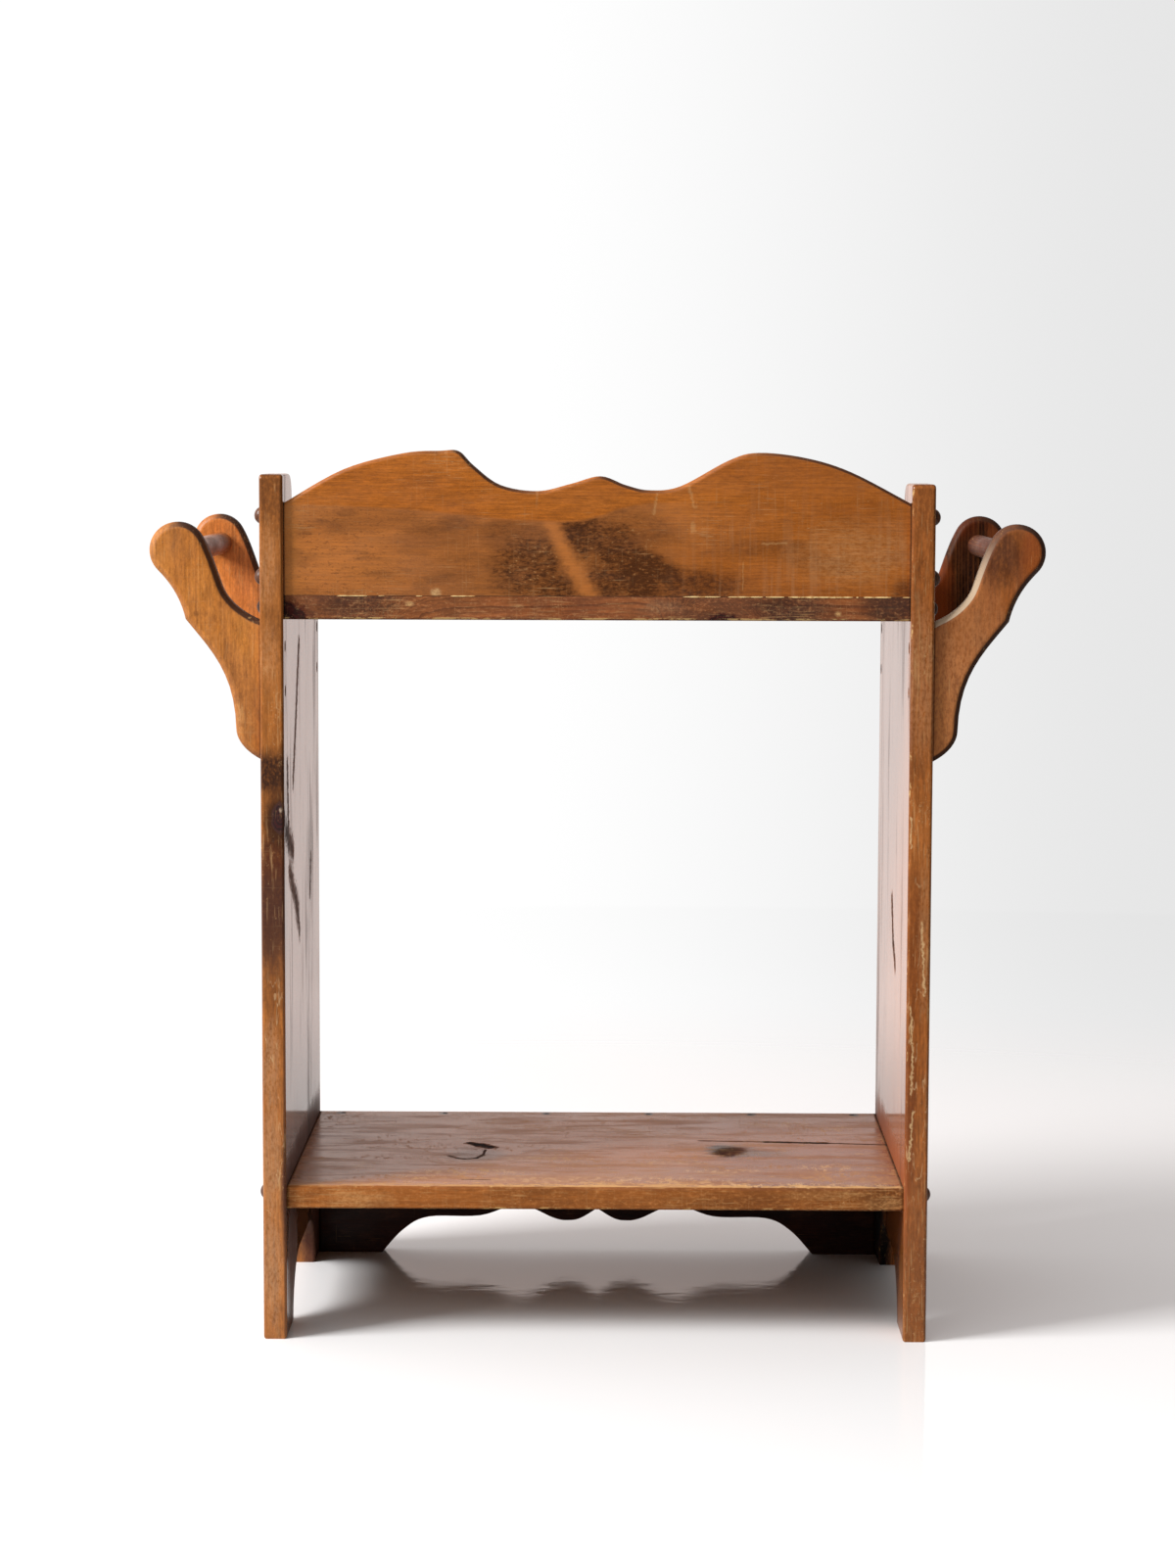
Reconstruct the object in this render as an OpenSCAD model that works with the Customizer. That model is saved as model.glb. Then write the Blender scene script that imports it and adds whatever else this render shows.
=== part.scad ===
// Pine washstand: two side panels joined by two shelves, with a shaped splash board
// on the top shelf, a shaped apron under the bottom shelf and a towel bar on each side.
// Millimetres, +Z up. The origin is on the floor, under the middle of the stand.
// The splash board is on the -Y side and the apron is on the +Y side.

/* [Carcass] */
// Width across the outer faces of the side panels
stand_w = 540; // [460:5:640]
// Depth of the side panels
stand_d = 330; // [300:5:420]
// Thickness of every board
board_t = 19; // [17:0.5:22]
// Height of the top surface of the top shelf
top_shelf_z = 606; // [590:1:625]
// Height of the top surface of the bottom shelf
bottom_shelf_z = 126; // [110:1:180]
// How far shelves and splash board stop short of the panels' splash-board edges
back_setback = 6; // [2:1:12]
// How far shelves and apron stop short of the panels' apron-side edges
front_setback = 2; // [0:1:8]
// Rounding of the long edges of the shelves
shelf_edge_r = 2; // [1:0.5:5]

/* [Side panels] */
// Height of the left side panel's ear above the top shelf
ear_rise = 97; // [84:1:134]
// How much lower the ear of the right side panel is
right_ear_drop = 6.5; // [0:0.5:10]
// Depth of the raised ear of the panel
ear_d = 82; // [60:1:110]
// Radius of the ear's corner at the splash-board edge
ear_back_r = 4; // [2:1:10]
// Radius of the ear's nose
ear_nose_r = 20; // [8:1:26]
// Radius of the hollow under the ear
ear_cove_r = 34; // [20:1:40]
// Height of the panel's low front above the top shelf
front_rise = 24; // [16:1:32]
// Radius of the panel's front top corner
front_corner_r = 14; // [5:1:20]
// Depth of each foot
foot_d = 60; // [45:1:80]
// Height of the arch between the feet
arch_h = 49; // [30:1:60]
// Run of the arch's rounded side
arch_side_run = 62; // [30:1:70]

/* [Splash board] */
// Height of the splash board at its ends
splash_end_h = 74; // [62:1:84]
// Height of its two peaks
splash_peak_h = 116; // [104:1:130]
// Height of its two dips
splash_dip_h = 84; // [70:1:92]
// Height of the bump between the dips
splash_bump_h = 96; // [90:1:104]

/* [Apron] */
// Width of each foot of the apron
apron_foot_w = 57; // [45:1:70]
// Run of the rise from a foot to the flat beside it
apron_foot_run = 42; // [30:1:60]
// Height of the lobes in the middle of the apron above the floor
apron_lobe_z = 30; // [20:1:38]
// Height of the long flats beside the feet
apron_flat_z = 34; // [26:1:40]
// Height of the cuts between the lobes and the flats
apron_cut_z = 44; // [38:1:56]
// Height of the pointed cut in the middle
apron_cusp_z = 41; // [36:1:56]

/* [Towel bars] */
// Diameter of a towel bar
bar_d = 19; // [16:0.5:22]
// Distance of the bar's centre from the panel's outer face
bar_out = 65; // [58:0.5:80]
// Height of the bar's centre above the top shelf
bar_rise = 33; // [20:1:49]
// Radial running clearance of the bar in its sockets
bar_fit = 0.08; // [0.03:0.01:0.1]
// End play of the bar at each end
bar_end_play = 0.5; // [0.2:0.1:1]
// Chamfer on the ends of the bar
bar_chamfer = 1; // [0.5:0.5:2]
// Depth of a socket in its bracket
socket_depth = 12; // [8:0.5:14]

/* [Brackets] */
// Distance of a bracket from the edge of the side panel
bracket_inset = 6; // [3:1:15]
// Radius of the round head of a bracket
bracket_head_r = 22.7; // [20:0.1:26]
// How far the middle of the round head lies outside the bar's centre
head_shift = 1.5; // [0:0.5:3]
// How far the middle of the round head lies above the bar's centre
head_lift = 3; // [0:0.5:4]
// Drop from the bar's centre to the top of the bracket's root
root_top_drop = 53; // [50:0.5:56]
// Drop from the bar's centre to the bottom of the root
root_bottom_drop = 165.5; // [160:0.5:180]
// Distance of the waist's inner side from the panel
waist_out = 31.3; // [26:0.5:34]
// Drop from the bar's centre to the waist
waist_drop = 24.7; // [20:0.5:30]
// Distance of the neck's corner from the panel
neck_out = 60.5; // [56:0.5:64]
// Drop from the bar's centre to the neck's corner
neck_drop = 52.3; // [48:0.5:56]
// Distance of the straight of the tail from the panel
tail_out = 20.4; // [19:0.1:26]
// Drop from the bar's centre to the round end of the tail
tail_drop = 141; // [134:0.5:148]
// Drop from the bar's centre to the upper bracket screw
bracket_screw_drop_a = 74; // [70:1:82]
// Drop from the bar's centre to the lower bracket screw
bracket_screw_drop_b = 110; // [100:1:120]

/* [Fasteners] */
// Length of the screws through the panels, head included
panel_screw_len = 38; // [30:1:45]
// Length of the bracket screws, head included
bracket_screw_len = 32; // [28:1:34]
// Diameter of the screws
screw_d = 4.2; // [3.5:0.1:5]
// Diameter of the screw heads
screw_head_d = 8.4; // [7:0.1:9]
// Thickness of the screw heads
screw_head_t = 3; // [2:0.1:3.5]
// Depth of the cross cut in a screw head
screw_cross_depth = 1.4; // [0.8:0.1:1.6]
// Length of a screw's point
screw_point = 5; // [3:0.5:8]
// Radial clearance of a screw in its hole
screw_fit = 0.1; // [0.05:0.05:0.3]
// Distance of the outer shelf screws from the edges of the side panel
shelf_screw_inset = 32; // [31:1:50]
// Number of screws in each end of a shelf
shelf_screws = 3; // [2:1:5]
// Height of the lower splash board screws above the top shelf
splash_screw_low = 16; // [12:1:24]
// Height of the upper splash board screws above the top shelf
splash_screw_high = 65; // [50:1:67]
// Diameter of the hole that a wooden plug closes
plug_bore_d = 9.6; // [9.2:0.1:12]
// Depth of that hole
plug_bore_depth = 8; // [6:0.5:10]
// Depth of the hole over a bracket screw's head
head_bore_depth = 6; // [4:0.5:8]
// Diameter of the domed head of a plug
plug_head_d = 13; // [12.5:0.1:13.8]
// Height of the domed head
plug_head_h = 5; // [3:0.5:7]
// Height of the rim of the domed head
plug_rim_h = 1; // [0.5:0.1:2]
// Radial clearance of a plug in its hole
plug_fit = 0.05; // [0.02:0.01:0.1]
// Space between a plug and the screw under it
plug_end_gap = 0.5; // [0.2:0.1:0.8]
// Length of the apron nails
nail_len = 45; // [35:1:55]
// Diameter of the apron nails
nail_d = 2.5; // [2:0.1:3.5]
// Diameter of the nail heads
nail_head_d = 4.4; // [4:0.1:6]
// Thickness of the nail heads
nail_head_t = 1.4; // [1:0.1:2]
// Length of a nail's point
nail_point = 4; // [2:0.5:6]
// Radial clearance of a nail in its hole
nail_fit = 0.05; // [0.02:0.01:0.1]
// Number of nails in the apron
nails = 6; // [4:1:8]
// Distance of the outer nails from the ends of the shelf
nail_end = 22; // [15:1:40]

/* [Hidden] */
$fn = 48;
curve_steps = 10;
cut_over = 1;
screw_cross_w = 1.1;
tip_d = 0.5;
stained_pine = [0.70, 0.42, 0.20];
dark_pine = [0.52, 0.29, 0.13];
plug_wood = [0.78, 0.53, 0.29];
steel = [0.45, 0.43, 0.42];

inner_half = stand_w / 2 - board_t;
back_y = -stand_d / 2;
front_y = stand_d / 2;
shelf_back_y = back_y + back_setback;
shelf_front_y = front_y - front_setback;
shelf_d = shelf_front_y - shelf_back_y;
splash_mid_y = shelf_back_y + board_t / 2;
apron_mid_y = shelf_front_y - board_t / 2;
ear_y = back_y + ear_d;
low_top_z = top_shelf_z + front_rise;
ear_top_z = top_shelf_z + ear_rise;
bracket_mid_y = front_y - bracket_inset - board_t / 2;
bracket_inner_y = bracket_mid_y - board_t / 2;
bar_half = bracket_inner_y + socket_depth - bar_end_play;
bar_x = stand_w / 2 + bar_out;
bar_z = top_shelf_z + bar_rise;
shelf_screw_ys = [for (i = [0 : shelf_screws - 1])
    (stand_d - 2 * shelf_screw_inset) * (i / (shelf_screws - 1) - 0.5)];
splash_screw_zs = [top_shelf_z + splash_screw_low, top_shelf_z + splash_screw_high];
bracket_screw_zs = [bar_z - bracket_screw_drop_a, bar_z - bracket_screw_drop_b];
nail_xs = [for (i = [0 : nails - 1]) 2 * (inner_half - nail_end) * (i / (nails - 1) - 0.5)];

// Points of a circular or elliptical arc
function arc(centre, rx, ry, from, to, n = curve_steps) =
    [for (i = [0 : n]) let (a = from + (to - from) * i / n) centre + [rx * cos(a), ry * sin(a)]];

// Points of a cubic curve with two end points and two handles
function curve(a, b, c, d, n = curve_steps) =
    [for (i = [0 : n]) let (t = i / n, u = 1 - t)
        u * u * u * a + 3 * u * u * t * b + 3 * u * t * t * c + t * t * t * d];

// One stretch of a smooth line, between points b and c
function smooth_step(a, b, c, d, t) =
    0.5 * (2 * b + (c - a) * t + (2 * a - 5 * b + 4 * c - d) * t * t + (3 * b - a - 3 * c + d) * t * t * t);

// A smooth line through a list of points, ends included
function smooth(p, n = 6) = let (last = len(p) - 1)
    concat([for (k = [0 : last - 1], i = [0 : n - 1])
        smooth_step(p[max(k - 1, 0)], p[k], p[k + 1], p[min(k + 2, last)], i / n)], [p[last]]);

// A flat board cut to an outline in Y and Z, standing along X from x0
module side_board(outline, x0, thickness) {
    translate([x0, 0, 0]) rotate([90, 0, 90]) linear_extrude(height = thickness) polygon(outline);
}

// A flat board cut to an outline in X and Z, standing along Y from y0
module cross_board(outline, y0, thickness) {
    translate([0, y0 + thickness, 0]) rotate([90, 0, 0]) linear_extrude(height = thickness) polygon(outline);
}

// A cylinder along +X from x0
module x_rod(x0, y, z, d, length) {
    translate([x0, y, z]) rotate([0, 90, 0]) cylinder(h = length, d = d);
}

// Puts children on the right as drawn, and on the left mirrored
module on_side(side) {
    if (side == "right") children();
    else mirror([1, 0, 0]) children();
}

// Holes

module plug_and_screw_hole(y, z) {
    outer = stand_w / 2;
    x_rod(outer - plug_bore_depth, y, z, plug_bore_d, plug_bore_depth + cut_over);
    x_rod(inner_half - cut_over, y, z, screw_d + 2 * screw_fit, board_t + cut_over - plug_bore_depth / 2);
}

module board_end_hole(y, z) {
    depth = panel_screw_len - screw_head_t - (board_t - plug_bore_depth) + screw_fit;
    x_rod(inner_half - depth, y, z, screw_d + 2 * screw_fit, depth + cut_over);
}

module bracket_screw_panel_hole(y, z) {
    x_rod(inner_half - cut_over, y, z, plug_bore_d, head_bore_depth + cut_over);
    x_rod(inner_half, y, z, screw_d + 2 * screw_fit, board_t + cut_over);
}

module bracket_screw_bracket_hole(y, z) {
    depth = bracket_screw_len - screw_head_t - (board_t - head_bore_depth) + screw_fit;
    x_rod(stand_w / 2 - cut_over, y, z, screw_d + 2 * screw_fit, depth + cut_over);
}

// Side panels

function panel_outline(ear_z) = concat(
    [[back_y, 0]],
    arc([back_y + ear_back_r, ear_z - ear_back_r], ear_back_r, ear_back_r, 180, 90, 4),
    arc([ear_y - ear_nose_r, ear_z - ear_nose_r], ear_nose_r, ear_nose_r, 90, 0),
    arc([ear_y + ear_cove_r, low_top_z + ear_cove_r], ear_cove_r, ear_cove_r, 180, 270),
    arc([front_y - front_corner_r, low_top_z - front_corner_r], front_corner_r, front_corner_r, 90, 0, 8),
    [[front_y, 0]],
    arc([front_y - foot_d - arch_side_run, 0], arch_side_run, arch_h, 0, 90, 14),
    arc([back_y + foot_d + arch_side_run, 0], arch_side_run, arch_h, 90, 180, 14)
);

module side_panel(side, ear_z) {
    color(stained_pine) on_side(side) difference() {
        side_board(panel_outline(ear_z), inner_half, board_t);
        for (z = splash_screw_zs) plug_and_screw_hole(splash_mid_y, z);
        for (y = shelf_screw_ys) {
            plug_and_screw_hole(y, top_shelf_z - board_t / 2);
            plug_and_screw_hole(y, bottom_shelf_z - board_t / 2);
        }
        for (y = [-bracket_mid_y, bracket_mid_y], z = bracket_screw_zs) bracket_screw_panel_hole(y, z);
    }
}

// Shelves

module shelf_section() {
    r = shelf_edge_r;
    translate([shelf_back_y + r, -board_t]) square([shelf_d - 2 * r, board_t]);
    translate([shelf_back_y, r - board_t]) square([shelf_d, board_t - 2 * r]);
    for (y = [shelf_back_y + r, shelf_front_y - r], z = [-r, r - board_t]) translate([y, z]) circle(r);
}

module shelf(top_z) {
    difference() {
        translate([-inner_half, 0, top_z]) rotate([90, 0, 90])
            linear_extrude(height = 2 * inner_half) shelf_section();
        for (side = ["left", "right"], y = shelf_screw_ys) on_side(side) board_end_hole(y, top_z - board_t / 2);
    }
}

// The splash board stands flush on one arris of the top shelf, which is left square
module top_shelf() {
    r = shelf_edge_r;
    color(stained_pine) {
        shelf(top_shelf_z);
        translate([-inner_half, shelf_back_y, top_shelf_z - r]) cube([2 * inner_half, r, r]);
    }
}

module bottom_shelf() {
    color(stained_pine) difference() {
        shelf(bottom_shelf_z);
        for (x = nail_xs) translate([x, apron_mid_y, bottom_shelf_z]) nail_hole();
    }
}

// Splash board: its top edge runs from the left end to the right, with its height above the shelf.
// The across values are shares of the half width between the panels.

function mix(a, b, share) = a + (b - a) * share;

splash_top = smooth([
    [-1, splash_end_h],
    [-0.81, mix(splash_end_h, splash_peak_h, 0.64)],
    [-0.62, mix(splash_end_h, splash_peak_h, 0.95)],
    [-0.5, splash_peak_h],
    [-0.443, mix(splash_dip_h, splash_peak_h, 0.99)],
    [-0.395, mix(splash_dip_h, splash_peak_h, 0.63)],
    [-0.31, mix(splash_dip_h, splash_peak_h, 0.15)],
    [-0.19, splash_dip_h],
    [-0.083, mix(splash_dip_h, splash_bump_h, 0.5)],
    [0.01, splash_bump_h],
    [0.09, mix(splash_dip_h, splash_bump_h, 0.42)],
    [0.165, mix(splash_dip_h, splash_bump_h, 0.08)],
    [0.265, mix(splash_dip_h, splash_peak_h, 0.13)],
    [0.42, mix(splash_dip_h, splash_peak_h, 0.78)],
    [0.515, mix(splash_dip_h, splash_peak_h, 0.97)],
    [0.665, mix(splash_end_h, splash_peak_h, 0.88)],
    [0.81, mix(splash_end_h, splash_peak_h, 0.61)],
    [1, mix(splash_end_h, splash_peak_h, 0.02)]
]);
splash_outline = concat(
    [[inner_half, top_shelf_z], [-inner_half, top_shelf_z]],
    [for (p = splash_top) [p.x * inner_half, top_shelf_z + p.y]]
);

module splash_board() {
    color(stained_pine) difference() {
        cross_board(splash_outline, shelf_back_y, board_t);
        for (side = ["left", "right"], z = splash_screw_zs) on_side(side) board_end_hole(splash_mid_y, z);
    }
}

// Apron: the right half of its lower edge, from the foot to the middle

apron_foot_x = inner_half - apron_foot_w;
apron_half_edge = smooth([
    [apron_foot_x, 0],
    [apron_foot_x - 0.46 * apron_foot_run, 0.62 * apron_flat_z],
    [apron_foot_x - apron_foot_run, 0.96 * apron_flat_z],
    [0.42 * inner_half, apron_flat_z],
    [0.28 * inner_half, apron_cut_z],
    [0.155 * inner_half, mix(apron_lobe_z, apron_cusp_z, 0.18)],
    [0.105 * inner_half, apron_lobe_z],
    [0.06 * inner_half, mix(apron_lobe_z, apron_cusp_z, 0.18)],
    [0, apron_cusp_z]
]);
apron_top_z = bottom_shelf_z - board_t;
apron_outline = concat(
    [[-inner_half, 0], [-inner_half, apron_top_z], [inner_half, apron_top_z], [inner_half, 0]],
    apron_half_edge,
    [for (i = [len(apron_half_edge) - 2 : -1 : 0]) [-apron_half_edge[i].x, apron_half_edge[i].y]]
);

module apron() {
    color(dark_pine) difference() {
        cross_board(apron_outline, shelf_front_y - board_t, board_t);
        for (x = nail_xs) translate([x, apron_mid_y, bottom_shelf_z]) nail_hole();
    }
}

// Brackets: the outline is drawn with the distance from the panel and the height above the bar

function heading(a) = [cos(a), sin(a)];

// A curve that leaves one point and reaches another along given headings. The reaches are
// shares of the distance between the points.
function bend(from, from_heading, from_reach, to, to_heading, to_reach) = let (l = norm(to - from))
    curve(from, from + from_reach * l * heading(from_heading), to - to_reach * l * heading(to_heading), to);

head = [bar_out + head_shift, head_lift];
head_from = 150;
head_to = -45;
head_in = head + bracket_head_r * heading(head_from);
head_out = head + bracket_head_r * heading(head_to);
waist = [waist_out, -waist_drop];
neck = [neck_out, -neck_drop];
tail = [tail_out, -tail_drop];
bracket_outline = concat(
    bend([0, -root_top_drop], 21, 0.33, waist, 71, 0.33),
    bend(waist, 71, 0.31, head_in, head_from - 90, 0.31),
    arc(head, bracket_head_r, bracket_head_r, head_from, head_to, 30),
    bend(head_out, head_to - 90, 0.4, neck, -103, 0.31),
    bend(neck, -129, 0.33, tail, -91, 0.47),
    bend(tail, -93, 0.24, [0, -root_bottom_drop], -153, 0.51)
);

module bracket(side, end) {
    mid_y = end == "back" ? -bracket_mid_y : bracket_mid_y;
    inward = end == "back" ? 1 : -1;
    color(stained_pine) on_side(side) difference() {
        translate([stand_w / 2, 0, bar_z]) cross_board(bracket_outline, mid_y - board_t / 2, board_t);
        translate([bar_x, mid_y + inward * (board_t / 2 - socket_depth), bar_z]) rotate([-90 * inward, 0, 0])
            cylinder(h = socket_depth + cut_over, r = bar_d / 2 + bar_fit);
        for (z = bracket_screw_zs) bracket_screw_bracket_hole(mid_y, z);
    }
}

// Towel bars

module towel_bar(side) {
    r = bar_d / 2;
    body = 2 * (bar_half - bar_chamfer);
    color(stained_pine) on_side(side) translate([bar_x, 0, bar_z]) rotate([90, 0, 0]) {
        cylinder(h = body, r = r, center = true);
        for (s = [0, 1]) mirror([0, 0, s]) translate([0, 0, body / 2])
            cylinder(h = bar_chamfer, r1 = r, r2 = r - bar_chamfer);
    }
}

// Fasteners

// A screw along -X with the underside of its head at the origin
module screw(length) {
    shank = length - screw_head_t - screw_point;
    rotate([0, -90, 0]) {
        cylinder(h = shank, d = screw_d);
        translate([0, 0, shank]) cylinder(h = screw_point, d1 = screw_d, d2 = tip_d);
        difference() {
            translate([0, 0, -screw_head_t]) cylinder(h = screw_head_t, d = screw_head_d);
            for (a = [0, 90]) rotate([0, 0, a])
                translate([-screw_head_d / 3, -screw_cross_w / 2, -screw_head_t - cut_over])
                    cube([screw_head_d * 2 / 3, screw_cross_w, screw_cross_depth + cut_over]);
        }
    }
}

module panel_screw(y, z) {
    translate([stand_w / 2 - plug_bore_depth, y, z]) screw(panel_screw_len);
}

module bracket_screw(y, z) {
    translate([inner_half + head_bore_depth, y, z]) mirror([1, 0, 0]) screw(bracket_screw_len);
}

module splash_screws(side) {
    color(steel) on_side(side) for (z = splash_screw_zs) panel_screw(splash_mid_y, z);
}

module shelf_screws_in(side, shelf_z) {
    color(steel) on_side(side) for (y = shelf_screw_ys) panel_screw(y, shelf_z - board_t / 2);
}

module bracket_screws(side, end) {
    mid_y = end == "back" ? -bracket_mid_y : bracket_mid_y;
    color(steel) on_side(side) for (z = bracket_screw_zs) bracket_screw(mid_y, z);
}

// A wooden plug along +X with the underside of its domed head at the origin
module plug() {
    dome = plug_head_h - plug_rim_h;
    dome_r = (pow(plug_head_d / 2, 2) + dome * dome) / (2 * dome);
    tenon = plug_bore_depth - screw_head_t - plug_end_gap;
    rotate([0, 90, 0]) rotate_extrude() {
        translate([0, -tenon]) square([plug_bore_d / 2 - plug_fit, tenon + plug_rim_h]);
        intersection() {
            square([plug_head_d / 2, plug_head_h]);
            translate([0, plug_head_h - dome_r]) circle(dome_r);
        }
    }
}

module splash_plugs(side) {
    color(plug_wood) on_side(side) for (z = splash_screw_zs) translate([stand_w / 2, splash_mid_y, z]) plug();
}

module shelf_plugs(side, shelf_z) {
    color(plug_wood) on_side(side) for (y = shelf_screw_ys)
        translate([stand_w / 2, y, shelf_z - board_t / 2]) plug();
}

// A nail hanging from the origin, with its head flush
module nail() {
    shank = nail_len - nail_head_t - nail_point;
    translate([0, 0, -nail_head_t]) {
        cylinder(h = nail_head_t, d = nail_head_d);
        translate([0, 0, -shank]) cylinder(h = shank, d = nail_d);
        translate([0, 0, -shank - nail_point]) cylinder(h = nail_point, d1 = tip_d, d2 = nail_d);
    }
}

module nail_hole() {
    translate([0, 0, -nail_head_t]) cylinder(h = nail_head_t + cut_over, d = nail_head_d + 2 * nail_fit);
    translate([0, 0, -nail_len - nail_fit]) cylinder(h = nail_len, d = nail_d + 2 * nail_fit);
}

module apron_nails() {
    color(steel) for (x = nail_xs) translate([x, apron_mid_y, bottom_shelf_z]) nail();
}

side_panel("left", ear_top_z);  // left_side_panel
side_panel("right", ear_top_z - right_ear_drop);  // right_side_panel
top_shelf();
bottom_shelf();
splash_board();
apron();
bracket("left", "back");  // left_back_bracket
bracket("left", "front");  // left_front_bracket
bracket("right", "back");  // right_back_bracket
bracket("right", "front");  // right_front_bracket
towel_bar("left");  // left_towel_bar
towel_bar("right");  // right_towel_bar
splash_screws("left");  // left_splash_screws
splash_screws("right");  // right_splash_screws
shelf_screws_in("left", top_shelf_z);  // left_top_shelf_screws
shelf_screws_in("right", top_shelf_z);  // right_top_shelf_screws
shelf_screws_in("left", bottom_shelf_z);  // left_bottom_shelf_screws
shelf_screws_in("right", bottom_shelf_z);  // right_bottom_shelf_screws
splash_plugs("left");  // left_splash_plugs
splash_plugs("right");  // right_splash_plugs
shelf_plugs("left", top_shelf_z);  // left_top_shelf_plugs
shelf_plugs("right", top_shelf_z);  // right_top_shelf_plugs
shelf_plugs("left", bottom_shelf_z);  // left_bottom_shelf_plugs
shelf_plugs("right", bottom_shelf_z);  // right_bottom_shelf_plugs
bracket_screws("left", "back");  // left_back_bracket_screws
bracket_screws("left", "front");  // left_front_bracket_screws
bracket_screws("right", "back");  // right_back_bracket_screws
bracket_screws("right", "front");  // right_front_bracket_screws
apron_nails();
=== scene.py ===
# The looks of the pine washstand: boards with eased edges in stained, knotty pine, turned
# towel bars and button plugs, dried glue under the splash board, and a pale studio.
# Metres, in the frame of the CAD model. The splash board is on the -Y side, where the camera is.
import math

import bmesh
import bpy
from mathutils import Matrix, Vector, noise


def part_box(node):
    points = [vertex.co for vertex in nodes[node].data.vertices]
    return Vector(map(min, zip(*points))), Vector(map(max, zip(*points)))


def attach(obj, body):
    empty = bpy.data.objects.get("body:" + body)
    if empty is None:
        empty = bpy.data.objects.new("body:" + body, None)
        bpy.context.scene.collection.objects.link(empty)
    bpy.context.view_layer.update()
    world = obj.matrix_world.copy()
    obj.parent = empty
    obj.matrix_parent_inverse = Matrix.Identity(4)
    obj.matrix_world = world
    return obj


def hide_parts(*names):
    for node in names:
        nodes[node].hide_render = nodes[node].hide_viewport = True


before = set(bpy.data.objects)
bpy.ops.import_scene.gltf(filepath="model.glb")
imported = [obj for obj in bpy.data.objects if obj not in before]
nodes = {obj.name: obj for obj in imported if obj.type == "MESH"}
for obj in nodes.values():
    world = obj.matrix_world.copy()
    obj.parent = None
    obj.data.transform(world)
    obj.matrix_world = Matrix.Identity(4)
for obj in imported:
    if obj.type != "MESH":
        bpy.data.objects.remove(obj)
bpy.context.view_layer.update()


# Shader nodes

def shorthand(operation):
    """A method of Wires for one operation of its math()."""
    return lambda wires, *values, clamp=False: wires.math(operation, *values, clamp=clamp)


class Wires:
    """Places and joins the shader nodes of one tree."""

    def __init__(self, tree):
        self.tree = tree

    def put(self, kind, inputs=None, **settings):
        node = self.tree.nodes.new(kind)
        for name, value in settings.items():
            setattr(node, name, value)
        for name, value in (inputs or {}).items():
            self.feed(node.inputs[name], value)
        return node

    def feed(self, socket, value):
        if isinstance(value, bpy.types.NodeSocket):
            self.tree.links.new(value, socket)
        else:
            socket.default_value = value

    def math(self, operation, *values, clamp=False):
        node = self.put("ShaderNodeMath", operation=operation, use_clamp=clamp)
        for socket, value in zip(node.inputs, values):
            self.feed(socket, value)
        return node.outputs[0]

    times = shorthand("MULTIPLY")
    times_plus = shorthand("MULTIPLY_ADD")
    plus = shorthand("ADD")
    minus = shorthand("SUBTRACT")
    most = shorthand("MAXIMUM")
    size = shorthand("ABSOLUTE")

    def vector(self, operation, *values):
        node = self.put("ShaderNodeVectorMath", operation=operation)
        for socket, value in zip(node.inputs, values):
            self.feed(socket, value)
        return node.outputs["Value" if operation in ("LENGTH", "DOT_PRODUCT") else "Vector"]

    def scale(self, vector, factor):
        return self.put("ShaderNodeVectorMath", {0: vector, "Scale": factor}, operation="SCALE").outputs[0]

    def split(self, vector):
        return tuple(self.put("ShaderNodeSeparateXYZ", {"Vector": vector}).outputs)

    def join(self, x, y, z):
        return self.put("ShaderNodeCombineXYZ", {"X": x, "Y": y, "Z": z}).outputs[0]

    def coordinates(self, kind="Object"):
        return self.put("ShaderNodeTexCoord").outputs[kind]

    def noise(self, point, stretch=None, detail=2, roughness=0.5, scale=1, output="Fac"):
        """Fractal noise of a point whose axes are first stretched, each by its own factor."""
        if stretch:
            point = self.vector("MULTIPLY", point, stretch)
        return self.put("ShaderNodeTexNoise", {"Vector": point, "Scale": scale, "Detail": detail,
                                               "Roughness": roughness}).outputs[output]

    def ease(self, value, low, high, start=0, end=1):
        return self.put("ShaderNodeMapRange", {
            "Value": value, "From Min": low, "From Max": high, "To Min": start, "To Max": end},
            interpolation_type="SMOOTHSTEP").outputs[0]

    def blend(self, share, first, second, mode="MIX"):
        node = self.put("ShaderNodeMix", {0: share, 6: first, 7: second}, data_type="RGBA", blend_type=mode)
        return node.outputs[2]

    def mix(self, share, first, second):
        """Blends two numbers."""
        return self.put("ShaderNodeMix", {0: share, 2: first, 3: second}).outputs[0]

    def relief(self, height, strength, distance):
        """The normal of a surface with small hills."""
        hills = {"Height": height, "Strength": strength, "Distance": distance}
        return self.put("ShaderNodeBump", hills).outputs[0]

    def group(self, tree, **inputs):
        return self.put("ShaderNodeGroup", inputs, node_tree=tree).outputs


VECTOR = "NodeSocketVector"
NUMBER = "NodeSocketFloat"


def shader_group(build):
    """Makes a node group of a function of wires and inputs, which returns masks by name."""
    tree = bpy.data.node_groups.new(build.__name__, "ShaderNodeTree")
    for label, kind in build.__annotations__.items():
        tree.interface.new_socket(name=label, in_out="INPUT", socket_type=kind)
    w = Wires(tree)
    masks = build(w, *tree.nodes.new("NodeGroupInput").outputs[:-1])
    for label in masks:
        tree.interface.new_socket(name=label, in_out="OUTPUT", socket_type=NUMBER)
    w.put("NodeGroupOutput", masks)
    return tree


def paint(red, green, blue):
    """A shader colour from screen values of 0 to 255."""
    def linear(value):
        share = value / 255
        return share / 12.92 if share <= 0.04045 else ((share + 0.055) / 1.055) ** 2.4
    return (linear(red), linear(green), linear(blue), 1)


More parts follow.
